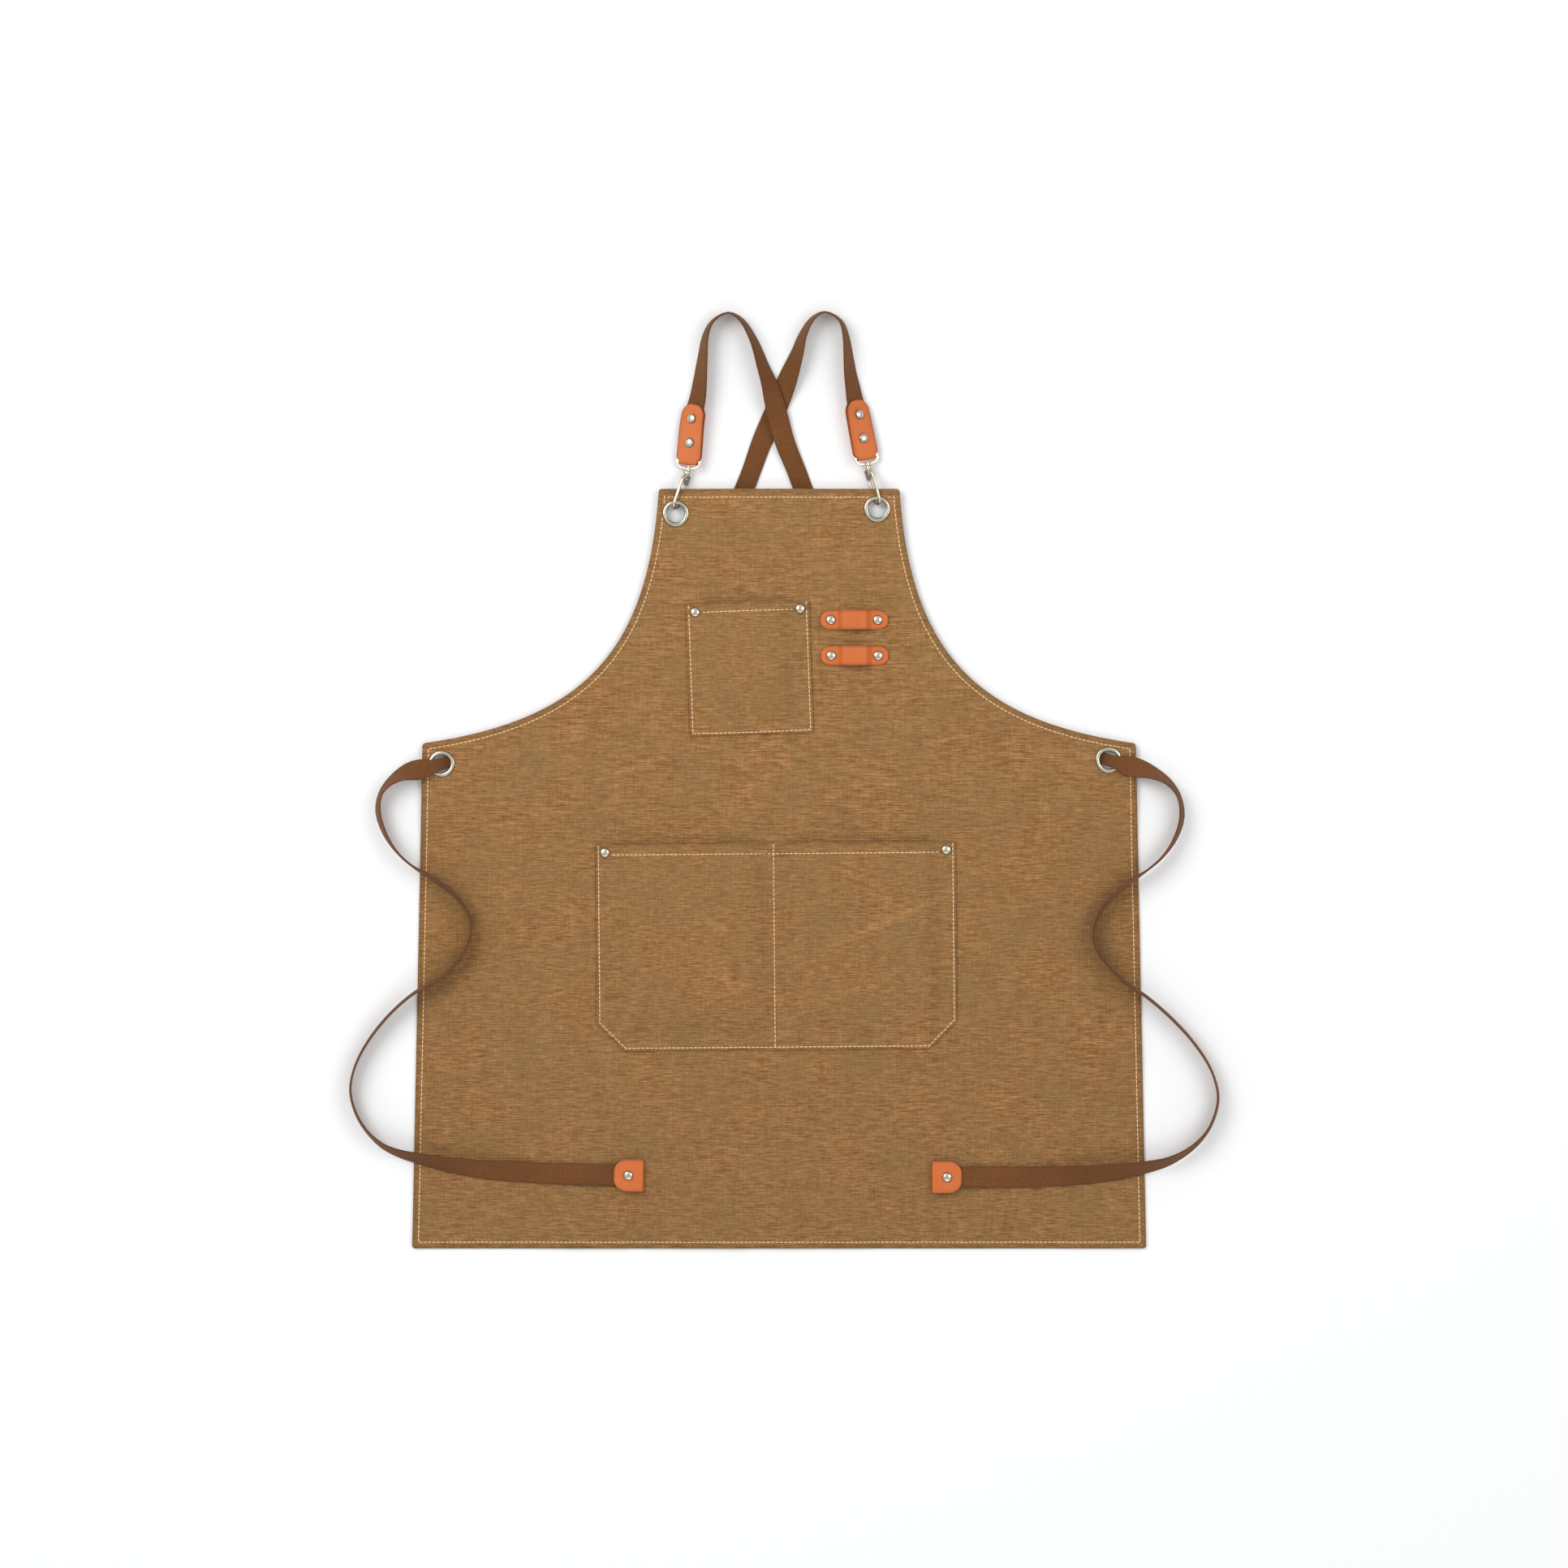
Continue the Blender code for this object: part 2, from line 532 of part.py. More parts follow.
def pocket_swell(pocket, x, y, divider):
    """Share of the full swell at a point of the pocket, 0 on its seams."""
    wide, tall = pocket["size"]
    side_seam = RIVET_IN + CAP_R + GAP
    share = smooth((wide / 2 - side_seam - abs(x)) / SWELL_RUN)
    share *= smooth((y + tall / 2 - POCKET_BOTTOM_SEAM) / (2 * SWELL_RUN))
    chamfer = pocket["chamfer"]
    if chamfer:
        corner = (wide / 2 - abs(x)) + (y + tall / 2) - chamfer
        share *= smooth(corner / (2 * SWELL_RUN))
    if divider is not None:
        share *= smooth((abs(x - divider) - DIVIDER_HALF) / SWELL_RUN)
    return share


def pocket_columns(half, stops):
    """Even steps between the stops where the swell starts or ends."""
    spots = [-half]
    for stop in sorted(stops) + [half]:
        parts = max(1, round((stop - spots[-1]) / 0.012))
        start = spots[-1]
        spots += [start + (stop - start) * (k + 1) / parts for k in range(parts)]
    return spots


def make_pocket(name, pocket, rows, divider, mat):
    wide, tall = pocket["size"]
    side_seam = RIVET_IN + CAP_R + GAP
    stops = [-wide / 2 + side_seam, wide / 2 - side_seam]
    if divider is not None:
        stops += [divider - DIVIDER_HALF, divider + DIVIDER_HALF]
    xs = pocket_columns(wide / 2, stops)
    bm = bmesh.new()
    bmesh.ops.create_grid(bm, x_segments=len(xs) - 1, y_segments=rows, size=1.0)
    for v in bm.verts:
        v.co.x = xs[round((v.co.x + 1) / 2 * (len(xs) - 1))]
        v.co.y *= tall / 2
    chamfer = pocket["chamfer"]
    if chamfer:
        for side in (-1, 1):
            slice_at(bm, (side * (wide / 2 - chamfer), -tall / 2, 0), (side, -1, 0), clear=True)
    frame = pocket_points(pocket)
    back_turn = Matrix.Rotation(-radians(pocket["lean"]), 3, "Z")
    for y, _ in DRAPE:
        slice_at(bm, frame.inverted() @ Vector((frame.translation.x, y, 0)),
                 back_turn @ Vector((0, 1, 0)))
    upper = set(thicken(bm, bm.faces[:]))
    for v in bm.verts:
        swell = SWELL * pocket_swell(pocket, v.co.x, v.co.y, divider)
        spot = frame @ v.co
        height = front(spot.y) + GAP + swell + (CLOTH if v in upper else 0)
        v.co = (spot.x, spot.y, height)
    obj = add_object(name, bm, mat)
    cut(obj, plug("cut_" + name, mouth_rivets(pocket), POST_R + GAP, -0.005, 0.005))
    return obj


def loop_rivets(centre):
    x, y = centre
    return [Matrix.Translation((x + side * LOOP_RIVETS / 2, y, front(y) + GAP + LEATHER))
            for side in (-1, 1)]


def make_tool_loop(name, centre, mat):
    """Leather strip riveted at both ends and arched between them."""
    end = LOOP_WIDTH / 2
    turns = [end * (1 - cos(radians(a))) for a in (20, 50, 75, 90)]
    flat = LOOP_RIVETS / 2 - CAP_R - GAP
    half = [0, flat - LOOP_RUN, flat - LOOP_RUN * 0.66, flat - LOOP_RUN * 0.33, flat]
    half += [LOOP_LENGTH / 2 - turn for turn in reversed(turns)]
    stations = [-s for s in reversed(half[1:])] + half
    bm = strip(stations, 2)
    upper = set(thicken(bm, bm.faces[:]))
    for v in bm.verts:
        past = max(0.0, abs(v.co.x) - (LOOP_LENGTH / 2 - end)) / end
        swell = LOOP_SWELL * smooth((flat - abs(v.co.x)) / LOOP_RUN)
        across = v.co.y * end * (1 - past**2) ** 0.5
        height = GAP + swell + (LEATHER if v in upper else 0)
        v.co = (centre[0] + v.co.x, centre[1] + across, front(centre[1]) + height)
    obj = add_object(name, bm, mat)
    cut(obj, plug("cut_" + name, loop_rivets(centre), POST_R + GAP, -0.005, 0.005))
    return obj


# ---- snap hooks; u runs from the swivel to the tip, w is up and v is to the side


def hook_frame(swivel, target, side):
    """X runs level from the swivel to the eyelet, Z is up with the hook's roll."""
    along = Vector((*(target - swivel.xy), 0)).normalized()
    outward = Vector((0, 0, 1)).cross(along) * side
    up = Vector((0, 0, 1)) * cos(radians(HOOK_ROLL)) + outward * sin(radians(HOOK_ROLL))
    frame = Matrix((along, up.cross(along), up)).transposed().to_4x4()
    frame.translation = swivel
    return frame


def outline_plate(points, low, high):
    """Flat plate with the outline's shape between two heights."""
    bm = bmesh.new()
    bm.faces.new([bm.verts.new((x, y, low)) for x, y in points])
    for v in thicken(bm, bm.faces[:]):
        v.co.z = high
    return bm


def make_bail(side, tab_frame, frame, mat):
    """Flat frame whose bar sits in the leather fold and whose boss carries the swivel."""
    outer = [(-BAIL_HALF, BAR_HALF), (BAIL_HALF, BAR_HALF), (BAIL_HALF, -0.0034),
             (0.0090, -0.0066), (0.0034, -SWIVEL_DROP + 0.0006), (-0.0034, -SWIVEL_DROP + 0.0006),
             (-0.0090, -0.0066), (-BAIL_HALF, -0.0034)]
    bail = add_object("bail_" + side, outline_plate(outer, -PLATE_THICK / 2, PLATE_THICK / 2),
                      mat, tab_frame)
    hole = [(-WINDOW_HALF, -BAR_HALF), (WINDOW_HALF, -BAR_HALF), (WINDOW_HALF, -0.0030),
            (0.0040, -0.0062), (-0.0040, -0.0062), (-WINDOW_HALF, -0.0030)]
    cut(bail, add_object("cut_window_" + side, outline_plate(hole, -0.004, 0.004), None,
                         tab_frame))
    lying = frame @ Matrix.Rotation(radians(90), 4, "Y")
    cut(bail, plug("boss_" + side, [lying], 0.0031, -0.0022, 0.0004, 16), "UNION")
    cut(bail, plug("cut_stem_" + side, [lying], STEM_R + RUNNING, -0.01, 0.01, 16))
    return bail


def hook_path():
    """Stations of the hook's wire: (u, w, radius)."""
    path = [(-0.0044, 0, 0.0014), (-0.0042, 0, 0.0022), (-0.0036, 0, 0.0022),
            (-0.0034, 0, STEM_R), (0.0006, 0, STEM_R), (0.0007, 0, 0.0030), (0.0012, 0, 0.0033),
            (0.0032, 0, 0.0033), (0.0040, 0.0002, 0.0026), (0.0056, 0.0014, 0.0022),
            (0.0074, 0.0036, 0.0019), (0.0094, LOOP_R - 0.0004, WIRE_R), (0.0120, LOOP_R, WIRE_R)]
    middle = HOOK_REACH - LOOP_R
    path.append(((0.0120 + middle) / 2, LOOP_R, WIRE_R))
    for step in range(9):
        turn = radians(90 - 22.5 * step)
        path.append((middle + LOOP_R * cos(turn), LOOP_R * sin(turn), WIRE_R))
    path.append(((middle + NOSE_U) / 2, -LOOP_R, WIRE_R))
    path.append((NOSE_U, -LOOP_R, WIRE_R * 0.95))
    return path


def wire_ring(bm, middle, first, second, radius, count):
    turns = [2 * pi * k / count for k in range(count)]
    return [bm.verts.new(middle + radius * (first * cos(t) + second * sin(t))) for t in turns]


def join_rings(bm, rings):
    """Tube through the rings, closed at both ends."""
    for a, b in zip(rings, rings[1:]):
        edges = [bm.edges.get(p) or bm.edges.new(p)
                 for ring in (a, b) for p in zip(ring, ring[1:] + ring[:1])]
        bmesh.ops.bridge_loops(bm, edges=edges)
    bm.faces.new(rings[0])
    bm.faces.new(rings[-1])


def make_hook(side, frame, mat):
    """Hook turned in one piece with its swivel stem, and the ear that carries the gate."""
    path = hook_path()
    bm = bmesh.new()
    rings = []
    for i, (u, w, radius) in enumerate(path):
        u0, w0, _ = path[max(i - 1, 0)]
        u1, w1, _ = path[min(i + 1, len(path) - 1)]
        along = Vector((u1 - u0, 0, w1 - w0)).normalized()
        rings.append(wire_ring(bm, Vector((u, 0, w)), Vector((0, 1, 0)),
                               along.cross(Vector((0, 1, 0))), radius, 10))
    join_rings(bm, rings)
    hook = add_object("hook_" + side, bm, mat, frame)
    pivot_u, pivot_w = PIVOT
    ear = [(0.0030, 0.0006), (0.0072, 0.0026), (pivot_u + 0.0018, pivot_w + 0.0006)]
    ear += [(pivot_u + 0.0019 * cos(radians(a)), pivot_w + 0.0019 * sin(radians(a)))
            for a in (0, -45, -90, -135)]
    ear.append((0.0028, -0.0022))
    plate = outline_plate(ear, EAR[0], EAR[1])
    upright = Matrix(((1, 0, 0, 0), (0, 0, 1, 0), (0, 1, 0, 0), (0, 0, 0, 1)))
    bmesh.ops.transform(plate, matrix=upright, verts=plate.verts)
    cut(hook, add_object("ear_" + side, plate, None, frame), "UNION")
    pin_place = frame @ Matrix.Translation((pivot_u, 0, pivot_w)) @ Matrix.Rotation(
        radians(-90), 4, "X")
    cut(hook, plug("cut_ear_" + side, [pin_place], PIN_R + 0.00012, -0.006, 0.006, 12))
    return pin_place


def make_gate(side, frame, pin_place, mat):
    """Gate lever forked round the ear, with its pin and torsion spring."""
    pivot_u, pivot_w = PIVOT
    tip_w = -LOOP_R
    rest = pivot_w - tip_w
    ahead = (GATE_REACH**2 - rest**2) ** 0.5
    arc = [(0.0019 * cos(radians(a)), 0.0019 * sin(radians(a))) for a in (60, 110, 160, 210, 260)]
    lever = arc + [(ahead, -rest - 0.0012), (ahead, -rest + 0.0012), (ahead * 0.5, -0.0001)]
    half = 0.0030
    plate = outline_plate(lever, -half, half)
    for v in plate.verts:
        v.co = (v.co.x, v.co.z * (0.55 if v.co.x > ahead * 0.8 else 1.0), v.co.y)
    place = frame @ Matrix.Translation((pivot_u, 0, pivot_w))
    gate = add_object("gate_" + side, plate, mat, place)
    slot = bmesh.new()
    bmesh.ops.create_cube(slot, size=1.0)
    for v in slot.verts:
        v.co = (v.co.x * 0.0064 - 0.0002, v.co.y * 2 * (half - CHEEK), v.co.z * 0.012)
    cut(gate, add_object("cut_slot_" + side, slot, None, place))
    cut(gate, plug("cut_gate_" + side, [pin_place], PIN_R + 0.00012, -0.006, 0.006, 12))
    pin = turned([(0, -half - 0.0003), (PIN_R, -half - 0.0003), (PIN_R, half + 0.0003),
                  (0, half + 0.0003)], 12)
    add_object("gate_pin_" + side, pin, mat, pin_place)
    make_spring(side, pin_place, mat)


def make_spring(side, pin_place, mat):
    """Three turns of wire round the pin, beside the ear."""
    wire, inner, turns, steps = 0.00022, 0.00115, 3, 10
    bm = bmesh.new()
    rings = []
    pitch = 2.3 * wire
    for i in range(turns * steps + 1):
        turn = 2 * pi * i / steps
        out = Vector((cos(turn), sin(turn), 0))
        middle = out * inner + Vector((0, 0, wire - 0.0001 + pitch * i / steps))
        rings.append(wire_ring(bm, middle, out, Vector((0, 0, 1)), wire, 5))
    join_rings(bm, rings)
    add_object("gate_spring_" + side, bm, mat, pin_place)


# ---- assembly


def strap_ribbon(side, route):
    """Ribbon that starts on the bail's bar and takes in the fold, the tab and the route."""
    fold = Vector(FOLDS[side])
    first = Vector(route[0][:2])
    up = (first - fold).normalized()
    bar = fold + up * (FOLD_CENTRE + WEB_THICK / 2 + GAP + LEATHER)
    lean = copysign(TAB_ROLL, route[0][3])
    start = [(*bar, TAB_LIFT, lean, 1, 1), (*(bar + up * 0.012), TAB_LIFT, lean * 1.3, 1, 1)]
    return Ribbon(start + route, 0.030)


def make_strap(side, route, metal, leather, webbing):
    ribbon = strap_ribbon(side, route)
    name = "strap_from_" + side
    fold_end = FOLD_CENTRE + WEB_THICK / 2 + GAP + LEATHER
    finish = ribbon.length - TIP_GAP
    strap = make_webbing(name, ribbon, BAR_HALF + GAP, finish, webbing)
    tab = make_fold("shoulder_tab_" + side, ribbon, TAB_LENGTH - fold_end, TAB_WIDTH, NARROW_HALF,
                    FOLD_CENTRE, leather)
    tip = make_fold("strap_tip_" + side, ribbon, TIP_LENGTH, TIP_WIDTH, TIP_WIDTH / 2,
                    -TIP_PULL, leather, from_end=True)
    face = WEB_THICK / 2 + GAP + LEATHER
    tab_spots = [ribbon.place(s, face) for s in TAB_RIVETS]
    tip_spot = ribbon.place(ribbon.length - TIP_RIVET, face)
    for i, spot in enumerate(tab_spots):
        make_rivet("tab_%s_%d" % (side, i + 1), spot, 2 * face, metal)
    make_rivet("tip_" + side, tip_spot, 2 * face, metal)
    cut(tab, plug("cut_tab_" + side, tab_spots, POST_R + GAP, -0.008, 0.003))
    cut(tip, plug("cut_tip_" + side, [tip_spot], POST_R + GAP, -0.008, 0.003))
    cut(strap, plug("cut_" + name, tab_spots + [tip_spot], POST_R + GAP, -0.008, 0.003))
    return ribbon


def make_snap_hook(side, ribbon, metal, dark):
    tab_frame = ribbon.place(0, 0)
    swivel = tab_frame @ Vector((0, -SWIVEL_DROP, 0))
    hole = Vector(EYELETS["top_" + side])
    sign = -1 if side == "left" else 1
    toward = (swivel.xy - hole).normalized()
    aim = hole + 0.0052 * toward + Vector((sign * 0.0020, 0))
    frame = hook_frame(swivel, aim, sign)
    make_bail(side, tab_frame, frame, metal)
    pin_place = make_hook(side, frame, metal)
    make_gate(side, frame, pin_place, dark)


def build():
    for old in list(bpy.data.objects):
        bpy.data.objects.remove(old, do_unlink=True)
    canvas = material("canvas", (0.35, 0.195, 0.077), 0.9)
    webbing = material("webbing", (0.215, 0.088, 0.027), 0.85)
    leather = material("leather", (0.64, 0.16, 0.048), 0.5)
    nickel = material("nickel", (0.78, 0.76, 0.72), 0.25, 1.0)
    dark = material("dark_steel", (0.22, 0.2, 0.18), 0.35, 1.0)

    eyelets = [make_eyelet(name, x, y, nickel) for name, (x, y) in EYELETS.items()]
    posts = mouth_rivets(CHEST) + mouth_rivets(LOWER)
    for centre in LOOP_CENTRES.values():
        posts += loop_rivets(centre)
    make_body(eyelets, posts, canvas)
    make_pocket("chest_pocket", CHEST, 8, None, canvas)
    make_pocket("lower_pocket", LOWER, 12, DIVIDER_X, canvas)
    for name, pocket in (("chest", CHEST), ("lower", LOWER)):
        for side, spot in zip(("left", "right"), mouth_rivets(pocket)):
            make_rivet("%s_%s" % (name, side), spot, GAP + 2 * CLOTH, nickel)
    for name, centre in LOOP_CENTRES.items():
        make_tool_loop("tool_loop_" + name, centre, leather)
        for side, spot in zip(("left", "right"), loop_rivets(centre)):
            make_rivet("loop_%s_%s" % (name, side), spot, LEATHER + GAP + CLOTH, nickel)
    for side, route in (("left", STRAP_FROM_LEFT), ("right", STRAP_FROM_RIGHT)):
        ribbon = make_strap(side, route, nickel, leather, webbing)
        make_snap_hook(side, ribbon, nickel, dark)


build()
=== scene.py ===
# Canvas work apron with leather trim, laid flat on a pale table and seen from straight above.
import math
import random

import bmesh
import bpy
from mathutils import Matrix, Vector, kdtree, noise


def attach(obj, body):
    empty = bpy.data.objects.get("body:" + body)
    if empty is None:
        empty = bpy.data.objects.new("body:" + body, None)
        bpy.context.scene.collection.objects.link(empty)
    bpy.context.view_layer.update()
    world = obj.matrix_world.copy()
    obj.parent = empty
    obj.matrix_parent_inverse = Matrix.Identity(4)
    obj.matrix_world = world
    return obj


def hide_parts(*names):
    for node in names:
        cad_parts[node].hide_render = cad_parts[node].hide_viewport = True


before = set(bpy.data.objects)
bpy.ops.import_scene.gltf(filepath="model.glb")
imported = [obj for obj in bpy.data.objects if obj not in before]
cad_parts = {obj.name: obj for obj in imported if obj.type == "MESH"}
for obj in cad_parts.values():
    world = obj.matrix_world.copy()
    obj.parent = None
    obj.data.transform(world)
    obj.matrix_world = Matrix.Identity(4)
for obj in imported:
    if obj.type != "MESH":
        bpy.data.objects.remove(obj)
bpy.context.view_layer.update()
print("frame loaded")

gap = 0.0003  # air between pieces that touch
upward = Vector((0, 0, 1))


# small tools

def toLinear(hexColour):
    # sRGB hex to the linear values that a shader takes
    parts = [int(hexColour[i:i + 2], 16) / 255 for i in (1, 3, 5)]
    return [c / 12.92 if c <= 0.04045 else ((c + 0.055) / 1.055) ** 2.4 for c in parts] + [1.0]


def addNode(tree, kind, inputs=None, **settings):
    # one shader node; an input takes a value or another node's output
    node = tree.nodes.new("ShaderNode" + kind)
    for name, value in settings.items():
        setattr(node, name, value)
    for socket, value in (inputs or {}).items():
        if isinstance(value, bpy.types.NodeSocket):
            tree.links.new(value, node.inputs[socket])
        else:
            node.inputs[socket].default_value = value
    return node


def newMaterial(name, values):
    material = bpy.data.materials.new(name)
    material.use_nodes = True
    shader = material.node_tree.nodes["Principled BSDF"]
    for socket, value in values.items():
        shader.inputs[socket].default_value = value
    return material, material.node_tree, shader


def easeStep(share):
    share = min(max(share, 0.0), 1.0)
    return share * share * (3 - 2 * share)


def thickenFaces(bm):
    # extrudes every face and returns the new vertices; the first ones stay in place
    made = bmesh.ops.extrude_face_region(bm, geom=bm.faces[:])["geom"]
    return {v for v in made if isinstance(v, bmesh.types.BMVert)}


def addPiece(name, bm, material, body, nodes, sharpAngle=38):
    # smooth shading with sharp folds, then the piece's place in the frame
    bmesh.ops.recalc_face_normals(bm, faces=bm.faces)
    for face in bm.faces:
        face.smooth = True
    for edge in bm.edges:
        edge.smooth = edge.calc_face_angle(0) < math.radians(sharpAngle)
    mesh = bpy.data.meshes.new(name)
    bm.to_mesh(mesh)
    bm.free()
    piece = bpy.data.objects.new(name, mesh)
    bpy.context.scene.collection.objects.link(piece)
    mesh.materials.append(material)
    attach(piece, body)
    if nodes:
        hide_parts(*nodes)
    return piece


def spinProfile(profile, steps, place=None, rims=()):
    # closed turned solid from (radius, height) points; a ring if no point is on the axis.
    # rims are (radius, reach) of rings painted darker as shade and dark reflection
    bm = bmesh.new()
    verts = [bm.verts.new((radius, 0, height)) for radius, height in profile]
    onAxis = profile[0][0] == 0
    ends = verts[1:] if onAxis else verts[1:] + verts[:1]
    edges = [bm.edges.new(pair) for pair in zip(verts, ends)]
    bmesh.ops.spin(bm, geom=edges, cent=(0, 0, 0), axis=(0, 0, 1), angle=2 * math.pi,
                   steps=steps, use_merge=True)
    bmesh.ops.remove_doubles(bm, verts=bm.verts, dist=1e-6)
    edge = bm.verts.layers.float.new("edge")
    for v in bm.verts:
        v[edge] = max([easeStep(1.4 - abs(v.co.xy.length - radius) / reach)
                       for radius, reach in rims], default=0.0)
    if place is not None:
        bmesh.ops.transform(bm, matrix=place, verts=bm.verts)
    return bm


def withCutter(bm, cutter, operation="DIFFERENCE"):
    # cuts or joins two closed shapes and returns the result
    pair = []
    for shape in (bm, cutter):
        bmesh.ops.recalc_face_normals(shape, faces=shape.faces)
        mesh = bpy.data.meshes.new("scrap")
        shape.to_mesh(mesh)
        shape.free()
        pair.append(bpy.data.objects.new("scrap", mesh))
        bpy.context.scene.collection.objects.link(pair[-1])
    change = pair[0].modifiers.new("cut", "BOOLEAN")
    change.operation = operation
    change.solver = "EXACT"
    change.object = pair[1]
    shown = pair[0].evaluated_get(bpy.context.evaluated_depsgraph_get())
    result = bmesh.new()
    result.from_mesh(shown.to_mesh())
    shown.to_mesh_clear()
    for scrap in pair:
        bpy.data.meshes.remove(scrap.data)
    return result


# camera and table: straight down, the bib at the top of the view

camera = {"middle": (0.0046, 0.4397), "width": 1.494, "lens": 100.0, "sensor": 36.0}
cameraData = bpy.data.cameras.new("camera")
cameraData.lens = camera["lens"]
cameraData.sensor_width = camera["sensor"]
cameraData.clip_end = 50
cameraObject = bpy.data.objects.new("camera", cameraData)
cameraObject.location = (*camera["middle"], camera["width"] * camera["lens"] / camera["sensor"])
bpy.context.scene.collection.objects.link(cameraObject)
bpy.context.scene.camera = cameraObject
bpy.context.scene.view_settings.view_transform = "Standard"


# strap routes: x, y, height of what the webbing lies on and roll in degrees, then shares of the
# full width and thickness where they are less or more

